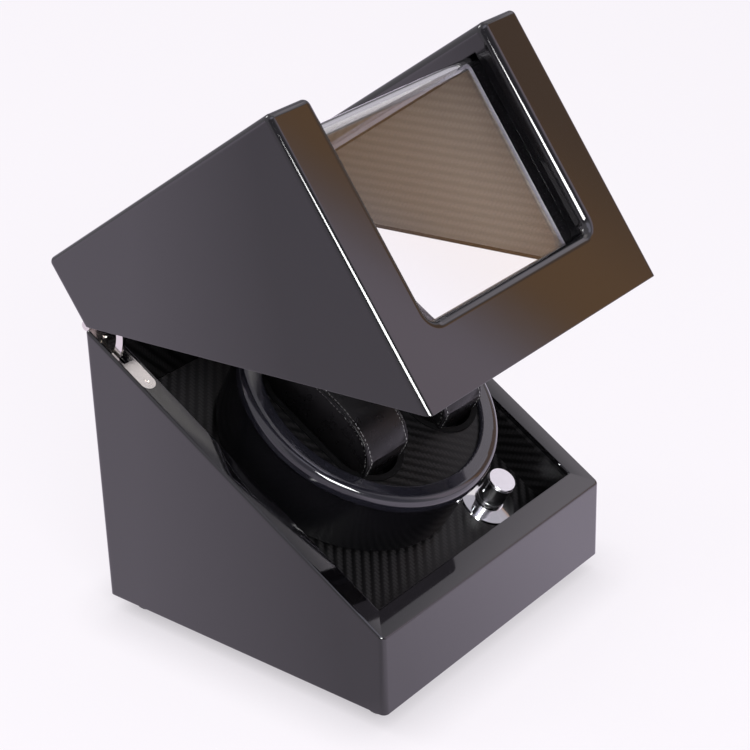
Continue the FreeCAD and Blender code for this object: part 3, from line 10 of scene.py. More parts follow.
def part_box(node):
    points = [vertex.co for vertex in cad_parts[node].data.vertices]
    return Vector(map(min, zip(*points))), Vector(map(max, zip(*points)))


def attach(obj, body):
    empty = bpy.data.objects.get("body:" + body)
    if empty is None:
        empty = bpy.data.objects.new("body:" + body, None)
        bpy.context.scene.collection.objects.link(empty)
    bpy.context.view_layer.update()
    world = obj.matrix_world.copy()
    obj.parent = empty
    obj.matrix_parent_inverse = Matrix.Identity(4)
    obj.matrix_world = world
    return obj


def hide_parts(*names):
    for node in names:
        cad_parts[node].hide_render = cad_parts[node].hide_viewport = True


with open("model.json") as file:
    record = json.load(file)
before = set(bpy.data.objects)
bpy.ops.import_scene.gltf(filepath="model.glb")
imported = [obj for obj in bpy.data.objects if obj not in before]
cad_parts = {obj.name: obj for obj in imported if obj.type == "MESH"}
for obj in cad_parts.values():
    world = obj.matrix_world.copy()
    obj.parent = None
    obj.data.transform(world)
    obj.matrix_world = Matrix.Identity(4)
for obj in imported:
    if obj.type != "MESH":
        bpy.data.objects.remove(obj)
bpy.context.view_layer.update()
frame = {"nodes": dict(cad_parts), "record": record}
nodes = frame["nodes"]
scene = bpy.context.scene
scene.view_settings.view_transform = "Standard"

MM = 0.001
joints = {joint["name"]: joint for joint in frame["record"]["behaviour"]["joints"]}
ACROSS = Vector((1, 0, 0))
DECK_NORMAL = Vector(joints["drum_spin"]["axis"]).normalized()
UP_SLOPE = DECK_NORMAL.cross(ACROSS)
LID_TURN = Matrix.Rotation(-math.radians(joints["lid_hinge"]["range_deg"][0]), 3,
                           Vector(joints["lid_hinge"]["axis"]))
LID_EDGE = LID_TURN @ UP_SLOPE
LID_RISE = LID_TURN @ DECK_NORMAL
CASE_HALF = 90.6 * MM
RIM_CROWN = 2.2  # fall of the rim's polish toward the well, per square metre inward
TWILL_TOW = 1.7 * MM
BRUSHED_STREAK = (900, 900, 60)
PALE = (0.973, 0.94, 0.985)


def add_camera():
    """The photograph's view."""
    data = bpy.data.cameras.new("view")
    data.sensor_fit = "HORIZONTAL"
    data.sensor_width = 36
    data.lens = 100.75
    data.clip_start = 0.01
    data.clip_end = 50
    camera = bpy.data.objects.new("view", data)
    right = Vector((0.622179, -0.782421, -0.026655))
    up = Vector((0.368413, 0.262580, 0.891809))
    back = Vector((-0.690771, -0.564685, 0.451626))
    turn = Matrix((right, up, back)).transposed().to_4x4()
    camera.matrix_world = Matrix.Translation((-0.71305, -0.59954, 0.59554)) @ turn
    scene.collection.objects.link(camera)
    scene.camera = camera


class Graph:
    """A material's node tree, with short calls for the nodes used here."""

    def __init__(self, name):
        self.material = bpy.data.materials.new(name)
        self.material.use_nodes = True
        self.tree = self.material.node_tree
        self.shader = self.tree.nodes["Principled BSDF"]
        self.output = self.tree.nodes["Material Output"]

    def add(self, kind, **settings):
        node = self.tree.nodes.new(kind)
        for key, value in settings.items():
            setattr(node, key, value)
        return node

    def feed(self, socket, value):
        if isinstance(value, bpy.types.NodeSocket):
            self.tree.links.new(value, socket)
        else:
            socket.default_value = value

    def place(self):
        return self.add("ShaderNodeTexCoord").outputs["Object"]

    def math(self, operation, first, second=0.0, third=0.0):
        node = self.add("ShaderNodeMath", operation=operation)
        for socket, value in zip(node.inputs, (first, second, third)):
            self.feed(socket, value)
        return node.outputs[0]

    def along(self, place, axis):
        node = self.add("ShaderNodeVectorMath", operation="DOT_PRODUCT")
        self.feed(node.inputs[0], place)
        node.inputs[1].default_value = axis
        return node.outputs["Value"]

    def noise(self, place, scale, detail=2.0, roughness=0.5):
        node = self.add("ShaderNodeTexNoise")
        self.feed(node.inputs["Vector"], place)
        node.inputs["Scale"].default_value = scale
        node.inputs["Detail"].default_value = detail
        node.inputs["Roughness"].default_value = roughness
        return node.outputs["Fac"]

    def stretched(self, place, scale):
        node = self.add("ShaderNodeVectorMath", operation="MULTIPLY")
        self.feed(node.inputs[0], place)
        node.inputs[1].default_value = scale
        return node.outputs["Vector"]

    def ramp(self, value, low, high, out_low, out_high):
        node = self.add("ShaderNodeMapRange")
        for key, item in (("Value", value), ("From Min", low), ("From Max", high),
                          ("To Min", out_low), ("To Max", out_high)):
            self.feed(node.inputs[key], item)
        return node.outputs["Result"]

    def mix(self, share, first, second):
        node = self.add("ShaderNodeMix", data_type="RGBA")
        self.feed(node.inputs["Factor"], share)
        self.feed(node.inputs[6], (*first, 1) if isinstance(first, tuple) else first)
        self.feed(node.inputs[7], (*second, 1) if isinstance(second, tuple) else second)
        return node.outputs[2]

    def soft_edges(self, radius):
        node = self.add("ShaderNodeBevel", samples=4)
        node.inputs["Radius"].default_value = radius
        return node.outputs["Normal"]

    def blend(self, share, first, second):
        node = self.add("ShaderNodeMix", data_type="FLOAT")
        for socket, value in zip((node.inputs[0], node.inputs[2], node.inputs[3]), (share, first, second)):
            self.feed(socket, value)
        return node.outputs[0]

    def facing(self, axis, limit):
        """1 where the surface faces along an axis, either way."""
        normal = self.add("ShaderNodeNewGeometry").outputs["Normal"]
        return self.math("GREATER_THAN", self.math("ABSOLUTE", self.along(normal, axis)), limit)

    def bump(self, height, strength, distance, normal=None):
        node = self.add("ShaderNodeBump")
        self.feed(node.inputs["Height"], height)
        if normal is not None:
            self.feed(node.inputs["Normal"], normal)
        node.inputs["Strength"].default_value = strength
        node.inputs["Distance"].default_value = distance
        self.feed(self.shader.inputs["Normal"], node.outputs["Normal"])
        return node.outputs["Normal"]

    def set(self, **values):
        for key, value in values.items():
            self.feed(self.shader.inputs[key.replace("_", " ")], value)


def plain_material(name, dark, light, rough, grain, bump=0.1, depth=0.0001, ior=1.5):
    """A material whose colour, roughness and surface vary with a grain of the given size."""
    graph = Graph(name)
    place = graph.place()
    spread = graph.noise(place, 1 / grain, 4)
    graph.set(Base_Color=graph.mix(spread, dark, light), IOR=ior,
              Roughness=graph.ramp(spread, 0.3, 0.7, rough[0], rough[1]))
    graph.bump(graph.noise(place, 2 / grain, 3), bump, depth)
    return graph.material


def lacquer_material():
    """Piano-black polished lacquer: a deep gloss with a faint swell, and a rim that falls inward."""
    graph = Graph("lacquer")
    place = graph.place()
    haze = graph.noise(place, 26, 5, 0.6)
    swell = graph.noise(place, 60, 2)
    graph.set(Base_Color=graph.mix(haze, (0.0012, 0.0011, 0.0015), (0.003, 0.0028, 0.0034)),
              Roughness=graph.ramp(haze, 0.3, 0.7, 0.03, 0.05), IOR=1.87)
    reach = graph.math("MAXIMUM", graph.math("ABSOLUTE", graph.along(place, ACROSS)),
                       graph.math("ABSOLUTE", graph.along(place, Vector((0, 1, 0)))))
    inward = graph.math("SUBTRACT", CASE_HALF, reach)
    crown = graph.math("MULTIPLY", graph.math("MULTIPLY", inward, inward), -RIM_CROWN)
    crown = graph.math("MULTIPLY", crown, graph.facing(DECK_NORMAL, 0.98))
    polished = graph.bump(crown, 1, 1, graph.soft_edges(0.0005))
    graph.bump(swell, 0.02, 0.0003, polished)
    return graph.material


def twill_material(name, first, second, dark, light):
    """Carbon-look film: two-by-two twill along two directions of the object."""
    graph = Graph(name)
    place = graph.place()
    u = graph.along(place, first / TWILL_TOW)
    v = graph.along(place, second / TWILL_TOW)
    step = graph.math("ADD", graph.math("FLOOR", u), graph.math("FLOOR", v))
    over = graph.math("LESS_THAN", graph.math("FLOORED_MODULO", step, 4), 1.5)
    slant = graph.math("MULTIPLY", graph.math("ADD", u, v), math.pi / 2)
    rib = graph.math("MULTIPLY_ADD", graph.math("SINE", slant), 0.5, 0.5)
    round_u = graph.math("SINE", graph.math("MULTIPLY", graph.math("FRACT", u), math.pi))
    round_v = graph.math("SINE", graph.math("MULTIPLY", graph.math("FRACT", v), math.pi))
    height = graph.blend(over, round_v, round_u)
    fibre = graph.blend(over, graph.noise(graph.stretched(place, first * 60 + second * 3000), 1.0, 2),
                        graph.noise(graph.stretched(place, first * 3000 + second * 60), 1.0, 2))
    share = graph.blend(0.62, rib, over)
    # Painted highlight: each tow is lighter along its crown and darker toward its edges.
    share = graph.math("MULTIPLY", share, graph.math("MULTIPLY_ADD", height, 0.75, 0.4))
    share = graph.math("MULTIPLY", share, graph.math("MULTIPLY_ADD", fibre, 0.7, 0.6))
    graph.set(Base_Color=graph.mix(share, dark, light), IOR=1.36,
              Roughness=graph.ramp(over, 0, 1, 0.3, 0.4))
    graph.bump(graph.blend(0.5, rib, height), 0.35, 0.00016)
    return graph.material


def metal_material(name, colour, rough):
    """Polished metal with a fine brushed streak that shows only in its highlights."""
    graph = Graph(name)
    place = graph.place()
    lines = graph.noise(graph.stretched(place, BRUSHED_STREAK), 1.0, 3)
    tone = tuple(0.93 * part for part in colour)
    graph.set(Base_Color=graph.mix(lines, tone, colour), Metallic=1.0,
              Roughness=graph.ramp(lines, 0.3, 0.7, rough[0], rough[1]))
    graph.bump(lines, 0.02, 0.00005)
    return graph.material


def acrylic_material():
    """Clear bent sheet with a faint haze of wipe marks and a few specks of dust."""
    graph = Graph("acrylic")
    place = graph.place()
    marks = graph.noise(graph.stretched(place, (40, 160, 160)), 1.0, 4)
    graph.set(Base_Color=(1, 1, 1, 1), Transmission_Weight=1.0, IOR=1.58,
              Roughness=graph.ramp(marks, 0.45, 0.8, 0.0, 0.03))
    specks = graph.add("ShaderNodeTexVoronoi")
    graph.feed(specks.inputs["Vector"], place)
    specks.inputs["Scale"].default_value = 170
    tint = graph.add("ShaderNodeSeparateColor")
    graph.feed(tint.inputs[0], specks.outputs["Color"])
    small = graph.math("LESS_THAN", specks.outputs["Distance"],
                       graph.math("MULTIPLY", tint.outputs[1], 0.045))
    few = graph.math("GREATER_THAN", tint.outputs[0], 0.8)
    dust = graph.add("ShaderNodeBsdfDiffuse")
    dust.inputs["Color"].default_value = (0.55, 0.52, 0.5, 1)
    path = graph.add("ShaderNodeLightPath")
    clear = graph.add("ShaderNodeBsdfTransparent")
    clear.inputs["Color"].default_value = (0.9, 0.89, 0.88, 1)
    dusty = graph.add("ShaderNodeMixShader")
    graph.feed(dusty.inputs[0], graph.math("MULTIPLY", graph.math("MULTIPLY", small, few), 0.5))
    graph.feed(dusty.inputs[1], graph.shader.outputs[0])
    graph.feed(dusty.inputs[2], dust.outputs[0])
    lit = graph.add("ShaderNodeMixShader")
    graph.feed(lit.inputs[0], path.outputs["Is Shadow Ray"])
    graph.feed(lit.inputs[1], dusty.outputs[0])
    graph.feed(lit.inputs[2], clear.outputs[0])
    graph.feed(graph.output.inputs["Surface"], lit.outputs[0])
    return graph.material


def leather_material(name, ior, rough):
    """Soft black leather: pebbled grain with creases, a satin sheen and a blotchy tone."""
    graph = Graph(name)
    place = graph.place()
    cells = graph.add("ShaderNodeTexVoronoi", feature="DISTANCE_TO_EDGE")
    graph.feed(cells.inputs["Vector"], place)
    cells.inputs["Scale"].default_value = 1150
    creases = graph.ramp(cells.outputs["Distance"], 0, 0.25, 0, 1)
    blotch = graph.noise(place, 140, 4)
    graph.set(Base_Color=graph.mix(blotch, (0.002, 0.0019, 0.0021), (0.005, 0.0047, 0.0052)), IOR=ior,
              Roughness=graph.ramp(blotch, 0.3, 0.7, rough[0], rough[1]))
    height = graph.math("ADD", graph.math("MULTIPLY", creases, 0.6), graph.noise(place, 420, 3))
    graph.bump(height, 0.35, 0.00012)
    return graph.material


def bezel_material():
    """Black strip bonded behind the sheet; its cut edges, facing across, carry a pale painted highlight.
    """
    graph = Graph("bezel")
    place = graph.place()
    specks = graph.noise(place, 900, 4)
    black = graph.mix(graph.ramp(specks, 0.5, 0.75, 0, 1), (0.002, 0.002, 0.0025), (0.016, 0.016, 0.018))
    # Painted highlight: faces turned across the lid get a pale colour for the bright line along the
    # strip's edge.
    painted_edge_highlight = graph.mix(specks, (0.13, 0.125, 0.15), (0.22, 0.21, 0.25))
    graph.set(Base_Color=graph.mix(graph.facing(ACROSS, 0.9), black, painted_edge_highlight), Roughness=0.6, IOR=1.05)
    graph.bump(specks, 0.1, 0.00005)
    return graph.material


def thread_material():
    """Pale waxed thread."""
    graph = Graph("thread")
    place = graph.place()
    twist = graph.noise(place, 4000, 2)
    graph.set(Base_Color=graph.mix(twist, (0.3, 0.3, 0.3), (0.5, 0.5, 0.5)), Roughness=0.6)
    graph.bump(twist, 0.3, 0.00005)
    return graph.material


def floor_material():
    """Pale studio floor that keeps a soft shadow, with painted shade in its glow: dimmer in the gloss
    toward its far left, and a lavender painted reflection.
    """
    graph = Graph("floor")
    graph.set(Base_Color=(*PALE, 1), Roughness=0.6, IOR=1.2)
    path = graph.add("ShaderNodeLightPath")
    place = graph.place()
    forward = graph.along(place, Vector((0.774, -0.633, 0)))
    # Painted shade: the glow seen in reflections is dimmer toward the far left and brighter toward the
    # front, by place on the floor, and dim when seen through the sheet after a reflection.
    painted_shade_level = graph.ramp(graph.along(place, Vector((1, 1, 0))), -0.16, -0.02, 0.48, 0.84)
    painted_shade_level = graph.math("ADD", painted_shade_level, graph.ramp(forward, -0.04, 0.01, 0, 0.38))
    painted_shade_level = graph.math("ADD", painted_shade_level, graph.ramp(forward, 0.01, 0.153, 0, 0.16))
    twice = graph.math("MULTIPLY", graph.math("GREATER_THAN", path.outputs["Glossy Depth"], 0.5),
                       graph.math("GREATER_THAN", path.outputs["Transmission Depth"], 0.5))
    painted_shade_level = graph.blend(twice, painted_shade_level, 0.1)
    near = graph.add("ShaderNodeAmbientOcclusion", samples=8)
    near.inputs["Distance"].default_value = 0.03
    glow = graph.add("ShaderNodeEmission")
    mirrored = graph.math("MULTIPLY", path.outputs["Is Glossy Ray"],
                          graph.math("LESS_THAN", path.outputs["Transmission Depth"], 0.5))
    # Painted reflection: in the gloss the floor glows lavender.
    graph.feed(glow.inputs["Color"], graph.mix(mirrored, PALE, (0.92, 0.82, 1.0)))
    # Painted contact shadow: the glow seen straight dims with ambient occlusion near the box.
    shaded = graph.ramp(near.outputs["AO"], 0, 1, 0.58, 1.0)
    straight = graph.math("LESS_THAN", path.outputs["Glossy Depth"], 0.5)
    graph.feed(glow.inputs["Strength"], graph.blend(straight, painted_shade_level, shaded))
    seen = graph.math("MAXIMUM", path.outputs["Is Camera Ray"],
                      graph.math("MAXIMUM", path.outputs["Is Glossy Ray"],
                                 path.outputs["Is Transmission Ray"]))
    blend = graph.add("ShaderNodeMixShader")
    graph.feed(blend.inputs[0], graph.math("MULTIPLY", seen, 0.86))
    graph.feed(blend.inputs[1], graph.shader.outputs[0])
    graph.feed(blend.inputs[2], glow.outputs[0])
    graph.feed(graph.output.inputs["Surface"], blend.outputs[0])
    return graph.material


def add_floor():
    half = 6
    mesh = bpy.data.meshes.new("floor")
    mesh.from_pydata([(-half, -half, 0), (half, -half, 0), (half, half, 0), (-half, half, 0)], [],
                     [(0, 1, 2, 3)])
    mesh.materials.append(floor_material())
    floor = bpy.data.objects.new("floor", mesh)
    scene.collection.objects.link(floor)


def add_world():
    """A studio seen in the gloss: grey all round, with a dim side, pale cards and a warm card."""
    world = bpy.data.worlds.new("studio")
    world.use_nodes = True
    scene.world = world
    tree = world.node_tree
    background = tree.nodes["Background"]
    ray = tree.nodes.new("ShaderNodeTexCoord").outputs["Generated"]
    split = tree.nodes.new("ShaderNodeSeparateXYZ")
    tree.links.new(ray, split.inputs[0])

    def calculate(operation, *values):
        node = tree.nodes.new("ShaderNodeMath")
        node.operation = operation
        for socket, value in zip(node.inputs, values):
            if isinstance(value, bpy.types.NodeSocket):
                tree.links.new(value, socket)
            else:
                socket.default_value = value
        return node.outputs[0]

    around = calculate("DEGREES", calculate("ARCTAN2", split.outputs["Y"], split.outputs["X"]))
    height = calculate("DEGREES", calculate("ARCSINE", split.outputs["Z"]))

    def step(value, low, high):
        node = tree.nodes.new("ShaderNodeMapRange")
        node.interpolation_type = "SMOOTHSTEP"
        tree.links.new(value, node.inputs["Value"])
        node.inputs["From Min"].default_value = low
        node.inputs["From Max"].default_value = high
        return node.outputs["Result"]

    def card(sideways, upward):
        """1 on a soft-edged patch of the sky between four azimuths and four elevations."""
        edges = [step(around, *sideways[:2]), step(around, *sideways[:1:-1]),
                 step(height, *upward[:2]), step(height, *upward[:1:-1])]
        share = edges[0]
        for edge in edges[1:]:
            share = calculate("MULTIPLY", share, edge)
        return share

    def over(share, below, colour):
        node = tree.nodes.new("ShaderNodeMix")
        node.data_type = "RGBA"
        tree.links.new(share, node.inputs["Factor"])
        for socket, value in zip((node.inputs[6], node.inputs[7]), (below, colour)):
            if isinstance(value, tuple):
                socket.default_value = (*value, 1)
            else:
                tree.links.new(value, socket)
        return node.outputs[2]

    warm = over(step(around, -36, -32), (0.75, 0.44, 0.24), (0.44, 0.29, 0.205))
    sky = over(card((-185, -165, -85, -62), (4, 12, 38, 46)), (0.5, 0.48, 0.53), (0.2, 0.19, 0.22))
    sky = over(card((-150, -130, -52, -40), (46, 52, 66, 76)), sky, (1.1, 1.08, 1.3))
    sky = over(card((-30, -24, 10, 20), (32, 36, 40.5, 48)), sky, (1.08, 1.0, 1.1))
    sky = over(card((-11.5, -9.5, 30, 45), (45, 48, 64, 72)), sky, (0.95, 0.91, 0.92))
    sky = over(card((-66, -60, -40, -36), (2, 8, 33, 40)), sky, (0.96, 0.82, 0.96))
    sky = over(card((-39.5, -36.5, -12, -5), (2, 8, 31, 34)), sky, warm)
    path = tree.nodes.new("ShaderNodeLightPath")
    even = over(path.outputs["Is Diffuse Ray"], sky, (0.6, 0.58, 0.61))
    shown = over(path.outputs["Is Camera Ray"], even, PALE)
    tree.links.new(shown, background.inputs["Color"])
    background.inputs["Strength"].default_value = 1.0


def add_lamp(name, place, target, size, power):
    data = bpy.data.lights.new(name, "AREA")
    data.shape = "RECTANGLE"
    data.size, data.size_y = size
    data.energy = power
    lamp = bpy.data.objects.new(name, data)
    lamp.location = place
    lamp.rotation_euler = (Vector(target) - Vector(place)).to_track_quat("-Z", "Y").to_euler()
    scene.collection.objects.link(lamp)


def finish_nodes(leather):
    """One procedural material for every CAD node, by its name or else by its record slot."""
    # Painted shade: dim gives the drum face, liners and other carbon parts a darker copy of the deck's
    # carbon, for the shade of the well.
    dark, light, dim = (0.0025, 0.0025, 0.0027), (0.022, 0.0213, 0.0225), (0.012, 0.0116, 0.0123)
    slant_up, slant_down = (LID_RISE + LID_EDGE).normalized(), (LID_RISE - LID_EDGE).normalized()
    deck_twill = twill_material("carbon_deck", ACROSS, -UP_SLOPE, dark, light)
    face_twill = twill_material("carbon_face", ACROSS, UP_SLOPE, dark, dim)
    side_twill = twill_material("carbon_side", UP_SLOPE, DECK_NORMAL, dark, dim)
    end_twill = twill_material("carbon_end", ACROSS, Vector((0, 0, 1)), dark, dim)
    # Painted light: the lid's cheeks carry a much lighter copy of the carbon, as if lit strongly through
    # the window.
    cheek_twill_painted_light = twill_material("carbon_cheek_painted_light", slant_up, slant_down, (0.125, 0.111, 0.1),
                                 (0.165, 0.147, 0.132))
    by_slot = {
        "lacquer": lacquer_material(),
        "cover_board": plain_material("cover_board", (0.012, 0.011, 0.01), (0.026, 0.023, 0.02),
                                      (0.5, 0.7), 0.004),
        "drum_gloss": plain_material("drum_gloss", (0.004, 0.004, 0.005), (0.007, 0.007, 0.008),
                                     (0.08, 0.14), 0.02, 0.02),
        "ring_gloss": plain_material("ring_gloss", (0.009, 0.009, 0.013), (0.013, 0.013, 0.018),
                                     (0.05, 0.09), 0.02, 0.01, ior=1.85),
        "pocket_plastic": plain_material("pocket_plastic", (0.002, 0.002, 0.0022),
                                         (0.005, 0.005, 0.0055), (0.55, 0.75), 0.0006, 0.3, ior=1.2),
        "leather": leather,
        "chrome": metal_material("chrome", (0.78, 0.78, 0.8), (0.05, 0.1)),
        "nickel": metal_material("nickel", (0.9, 0.865, 0.83), (0.12, 0.2)),
        "steel": metal_material("steel", (0.5, 0.5, 0.51), (0.25, 0.4)),
        "motor_case": metal_material("motor_case", (0.45, 0.45, 0.45), (0.3, 0.45)),
        "bronze": metal_material("bronze", (0.5, 0.33, 0.15), (0.3, 0.45)),
        "moulded_plastic": plain_material("moulded_plastic", (0.012, 0.012, 0.012),
                                          (0.024, 0.024, 0.024), (0.4, 0.55), 0.0012),
        "rubber": plain_material("rubber", (0.009, 0.009, 0.009), (0.018, 0.018, 0.018),
                                 (0.65, 0.85), 0.0008, 0.25),
        "lead_sheath": plain_material("lead_sheath", (0.012, 0.012, 0.012), (0.022, 0.022, 0.022),
                                      (0.45, 0.6), 0.001),
        "board": plain_material("board", (0.012, 0.1, 0.04), (0.02, 0.15, 0.06), (0.3, 0.45), 0.003),
        "acrylic": acrylic_material(),
        "bezel": bezel_material(),
    }
    satin = metal_material("satin_chrome", (0.86, 0.86, 0.88), (0.15, 0.24))
    by_node = {"knob": satin, "deck_panel": deck_twill, "drum_face": face_twill,
               "liner_front": end_twill, "liner_back": end_twill,
               "lid_liner_left": cheek_twill_painted_light, "lid_liner_right": cheek_twill_painted_light}
    for subpart in frame["record"]["subparts"]:
        name = subpart["node"]
        material = by_node.get(name, by_slot.get(subpart["material_slot"], side_twill))
        mesh = nodes[name].data
        mesh.materials.clear()
        mesh.materials.append(material)


PILLOW_HALF_LENGTH = 36.2
PILLOW_MIDDLE = 19.6
PILLOW_RISE = 21
PILLOW_FALL = 26.8
PILLOW_FOOT = 0.7
PILLOW_TOP_BEND = 2.4
PILLOW_FOOT_BEND = 2.6
SEAM_X = 15.4
SEAM_ROW = 9
OUTLINE_POINTS = 176
OUTLINE_STEPS = 1440
OUTLINE_ROUNDS = 6
SWELL_SCALE = 0.01
SWELL_PRESSURE = 2.0
SWELL_CAP = 0.012
SWELL_FRAMES = 20
HELD_BELOW = 0.02
PIPING_REACH = 0.85
PIPING_RADIUS = 0.72
PIPING_LIFT = 0.5
STITCH_REACH = 2.1
STITCH_RADIUS = 0.2
STITCH_LIFT = 0.16
STITCH_SINK = 0.02


def pillow_outline():
    """The side panel's oval in the pillow's own plane: points along the slope and above its floor."""
    dense = []
    for step in range(OUTLINE_STEPS):
        angle = 2 * math.pi * step / OUTLINE_STEPS
        bend = PILLOW_TOP_BEND if math.sin(angle) > 0 else PILLOW_FOOT_BEND
        reach = PILLOW_RISE if math.sin(angle) > 0 else PILLOW_FALL
        y = PILLOW_HALF_LENGTH * math.copysign(abs(math.cos(angle)) ** (2 / bend), math.cos(angle))
        z = PILLOW_MIDDLE + reach * math.copysign(abs(math.sin(angle)) ** (2 / bend), math.sin(angle))
        dense.append(Vector((y, max(z, PILLOW_FOOT))))
    lengths = [0.0]
    for first, second in zip(dense, dense[1:] + dense[:1]):
        lengths.append(lengths[-1] + (second - first).length)
    points = []
    index = 0
    for step in range(OUTLINE_POINTS):
        target = lengths[-1] * step / OUTLINE_POINTS
        while lengths[index + 1] < target:
            index += 1
        share = (target - lengths[index]) / max(lengths[index + 1] - lengths[index], 1e-9)
        points.append(dense[index].lerp(dense[(index + 1) % len(dense)], share))
    for _ in range(OUTLINE_ROUNDS):
        points = [(points[i - 1] + points[i] * 2 + points[(i + 1) % OUTLINE_POINTS]) / 4
                  for i in range(OUTLINE_POINTS)]
    return points


def outline_normals(points):
    normals = []
    for i in range(OUTLINE_POINTS):
        along = points[(i + 1) % OUTLINE_POINTS] - points[i - 1]
        normals.append(Vector((along.y, -along.x)).normalized())
    return normals


def pillow_profile():
    """Rows across a pillow from the middle of one side panel to the other: each is a place across
    the pillow, a share of the outline, an offset out of it, and whether the seam holds it."""
    half = []
    for share in (0.12, 0.28, 0.44, 0.58, 0.70, 0.80, 0.875, 0.925):
        half.append((-(SEAM_X + 0.5 + 1.0 * (1 - share ** 2)), share, 0.0, False))
    half.append((-(SEAM_X + 0.45), 0.965, 0.0, False))
    half.append((-SEAM_X, 1.0, -0.75, True))
    half.append((-(SEAM_X - 0.9), 1.0, -0.3, False))
    for x in (13.2, 11.6, 9.6, 7.2, 4.8, 2.4):
        half.append((-x, 1.0, 0.15 + 0.75 * (1 - (x / SEAM_X) ** 2), False))
    middle = [(0.0, 1.0, 0.9, False)]
    return half + middle + [(-x, share, out, held) for x, share, out, held in reversed(half)]


def pillow_place(center, x, y, z):
    """A point of the pillow's own frame, in millimetres, as a place in the part."""
    return center + (ACROSS * x + UP_SLOPE * y + DECK_NORMAL * z) * MM


def pillow_form():
    """Rows of points of one pillow in its own frame, with the seam rows held while it swells."""
    points = pillow_outline()
    normals = outline_normals(points)
    rows = []
    held = []
    for x, share, out, pinned in pillow_profile():
        row = []
        for point, normal in zip(points, normals):
            y = point.x * share
            z = PILLOW_MIDDLE + (point.y - PILLOW_MIDDLE) * share
            row.append(Vector((x, y + normal.x * out, z + normal.y * out)))
        rows.append(row)
        held.append(pinned)
    return rows, held


def pillow_mesh(rows):
    mesh = bpy.data.meshes.new("pillow_form")
    vertices = [point for row in rows for point in row]
    faces = []
    for r in range(len(rows) - 1):
        for i in range(OUTLINE_POINTS):
            j = (i + 1) % OUTLINE_POINTS
            low, high = r * OUTLINE_POINTS, (r + 1) * OUTLINE_POINTS
            faces.append((low + i, high + i, high + j, low + j))
    for start, flip in ((0, False), ((len(rows) - 1) * OUTLINE_POINTS, True)):
        middle = len(vertices)
        vertices.append(sum(rows[0 if not flip else -1], Vector()) / OUTLINE_POINTS)
        for i in range(OUTLINE_POINTS):
            j = (i + 1) % OUTLINE_POINTS
            faces.append((start + i, start + j, middle) if not flip else (start + j, start + i, middle))
    mesh.from_pydata(vertices, [], faces)
    mesh.update()
    return mesh


def swell(mesh, pins, pressure, cap):
    """Puff a closed mesh as cloth, in its own large units, and keep each point within the cap."""
    piece = bpy.data.objects.new("swelling", mesh)
    scene.collection.objects.link(piece)
    before = [vertex.co.copy() for vertex in mesh.vertices]
    group = piece.vertex_groups.new(name="held")
    group.add(pins, 1.0, "REPLACE")
    cloth = piece.modifiers.new("cloth", "CLOTH")
    cloth.settings.quality = 6
    cloth.settings.mass = 0.02
    cloth.settings.tension_stiffness = 12
    cloth.settings.compression_stiffness = 6
    cloth.settings.bending_stiffness = 0.3
    cloth.settings.use_pressure = True
    cloth.settings.uniform_pressure_force = pressure
    cloth.settings.vertex_group_mass = "held"
    cloth.settings.effector_weights.gravity = 0
    cloth.point_cache.frame_start = 1
    cloth.point_cache.frame_end = SWELL_FRAMES
    for number in range(1, SWELL_FRAMES + 1):
        scene.frame_set(number)
    seen = piece.evaluated_get(bpy.context.evaluated_depsgraph_get())
    after = [vertex.co.copy() for vertex in seen.data.vertices]
    moved = []
    for first, second in zip(before, after):
        shift = second - first
        if shift.length > cap:
            shift *= cap / shift.length
        moved.append(first + shift)
    bpy.data.objects.remove(piece)
    scene.frame_set(1)
    for vertex, place in zip(mesh.vertices, moved):
        vertex.co = place
    mesh.update()
    return max((b - a).length for a, b in zip(before, moved))


def tube(path, radius, sides, closed):
    """Vertices and faces of a round cord along a path."""
    vertices = []
    faces = []
    count = len(path)
    for i, point in enumerate(path):
        ahead = path[(i + 1) % count] if closed or i + 1 < count else point
        behind = path[i - 1] if closed or i > 0 else point
        along = (ahead - behind).normalized()
        side = along.cross(ACROSS)
        side = side.normalized() if side.length > 1e-6 else Vector((0, 1, 0))
        lift = side.cross(along)
        thin = 0.55 if not closed and i in (0, count - 1) else 1.0
        for k in range(sides):
            angle = 2 * math.pi * k / sides
            vertices.append(point + (side * math.cos(angle) + lift * math.sin(angle)) * radius * thin)
    for i in range(count if closed else count - 1):
        j = (i + 1) % count
        for k in range(sides):
            m = (k + 1) % sides
            faces.append((i * sides + k, j * sides + k, j * sides + m, i * sides + m))
    if not closed:
        faces.append(tuple(range(sides)))
        faces.append(tuple(reversed(range((count - 1) * sides, count * sides))))
    return vertices, faces


def pour(name, parts, material, body):
    """One mesh object from several tubes, in the part's frame, riding a body."""
    vertices = []
    faces = []
    for some_vertices, some_faces in parts:
        start = len(vertices)
        vertices.extend(some_vertices)
        faces.extend(tuple(start + i for i in face) for face in some_faces)
    mesh = bpy.data.meshes.new(name)
    mesh.from_pydata(vertices, [], faces)
    mesh.update()
    mesh.shade_smooth()
    mesh.materials.append(material)
    piece = bpy.data.objects.new(name, mesh)
    scene.collection.objects.link(piece)
    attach(piece, body)


def seam_paths(rows, surface):
    """Piping and stitch lines on both sides of each seam, laid on the swollen form."""
    pipes, stitches = [], []
    seam_rows = (SEAM_ROW, len(rows) - 1 - SEAM_ROW)
    for row, toward in zip(seam_rows, (1, -1)):
        for reach, store in ((-PIPING_REACH, pipes), (PIPING_REACH, pipes),
                             (-STITCH_REACH, stitches), (STITCH_REACH, stitches)):
            path = []
            for i in range(OUTLINE_POINTS):
                here = rows[row][i]
                ahead = rows[row + (3 if reach * toward > 0 else -3)][i]
                guess = here + (ahead - here).normalized() * abs(reach)
                spot, normal, _, _ = surface.find_nearest(guess)
                path.append((spot, normal))
            store.append(path)
    return pipes, stitches


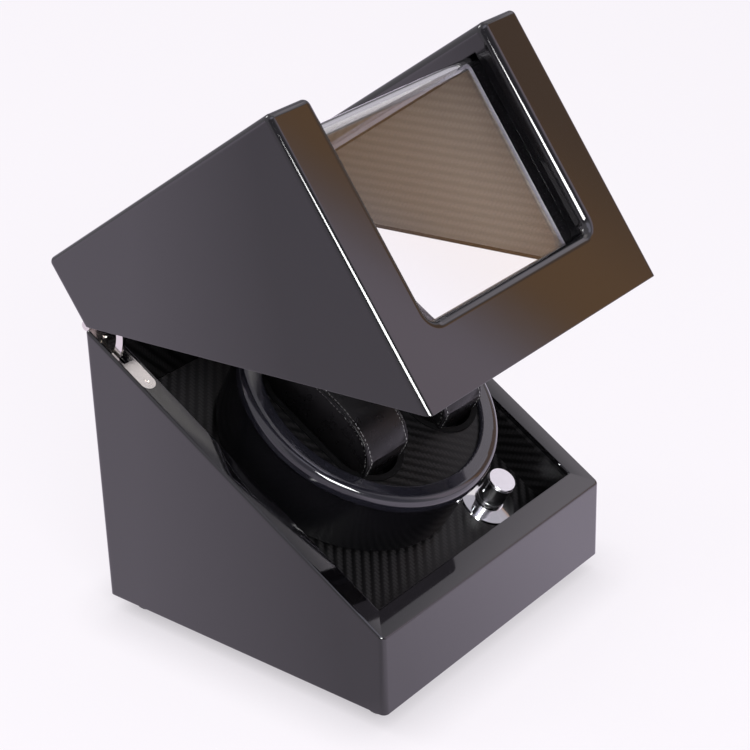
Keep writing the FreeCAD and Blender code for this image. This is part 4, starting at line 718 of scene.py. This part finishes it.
def add_pillows(leather, piping, thread):
    """Swollen covers over the plain pillow solids, with the piping and stitches of their seams."""
    rows, held = pillow_form()
    mesh = pillow_mesh(rows)
    for vertex in mesh.vertices:
        vertex.co *= SWELL_SCALE
    pins = [r * OUTLINE_POINTS + i for r, pinned in enumerate(held) if pinned
            for i in range(OUTLINE_POINTS)]
    pins += [vertex.index for vertex in mesh.vertices if vertex.co.z < HELD_BELOW]
    farthest = swell(mesh, pins, SWELL_PRESSURE, SWELL_CAP)
    print("pillow swelled by", round(farthest / SWELL_SCALE, 2), "mm")
    for vertex in mesh.vertices:
        vertex.co /= SWELL_SCALE
    surface = BVHTree.FromPolygons([vertex.co.copy() for vertex in mesh.vertices],
                                   [tuple(polygon.vertices) for polygon in mesh.polygons])
    pipes, stitches = seam_paths(rows, surface)
    for body in ("pillow_left", "pillow_right"):
        lowest = min((Vector(vertex.co).dot(DECK_NORMAL) for vertex in nodes[body].data.vertices))
        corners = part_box(body)
        across = (corners[0].x + corners[1].x) / 2
        slope = [Vector(vertex.co).dot(UP_SLOPE) for vertex in nodes[body].data.vertices]
        center = ACROSS * across + UP_SLOPE * (min(slope) + max(slope)) / 2 + DECK_NORMAL * lowest

        def place(point):
            return pillow_place(center, point.x, point.y, point.z)

        cover_mesh = mesh.copy()
        for vertex in cover_mesh.vertices:
            vertex.co = place(vertex.co)
        cover_mesh.update()
        cover_mesh.shade_smooth()
        cover_mesh.materials.append(leather)
        cover = bpy.data.objects.new(f"{body}_cover", cover_mesh)
        scene.collection.objects.link(cover)
        smooth = cover.modifiers.new("smooth", "SUBSURF")
        smooth.levels = smooth.render_levels = 1
        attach(cover, body)
        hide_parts(body)
        pipe_parts = [tube([place(spot + normal * PIPING_LIFT) for spot, normal in path],
                           PIPING_RADIUS * MM, 10, True) for path in pipes]
        pour(f"{body}_piping", pipe_parts, piping, body)
        stitch_parts = []
        for path in stitches:
            for start in range(0, OUTLINE_POINTS, 2):
                first, first_normal = path[start]
                second, second_normal = path[(start + 1) % OUTLINE_POINTS]
                bits = [first + first_normal * STITCH_SINK,
                        first.lerp(second, 0.25) + first_normal * STITCH_LIFT,
                        first.lerp(second, 0.85) + second_normal * STITCH_LIFT,
                        first.lerp(second, 1.1) + second_normal * STITCH_SINK]
                stitch_parts.append(tube([place(bit) for bit in bits], STITCH_RADIUS * MM, 6, False))
        pour(f"{body}_stitches", stitch_parts, thread, body)


add_camera()
add_world()
add_floor()
add_lamp("key", (-0.69, -1.0, 0.797), (0, 0, 0.14), (0.6, 0.3), 12)
add_lamp("fill", (-0.5, 1.4, 1.7), (0, 0, 0.1), (0.8, 0.8), 12)
LEATHER = leather_material("pillow_leather", 1.36, (0.24, 0.36))
finish_nodes(LEATHER)
add_pillows(LEATHER, leather_material("piping_leather", 1.42, (0.2, 0.3)), thread_material())
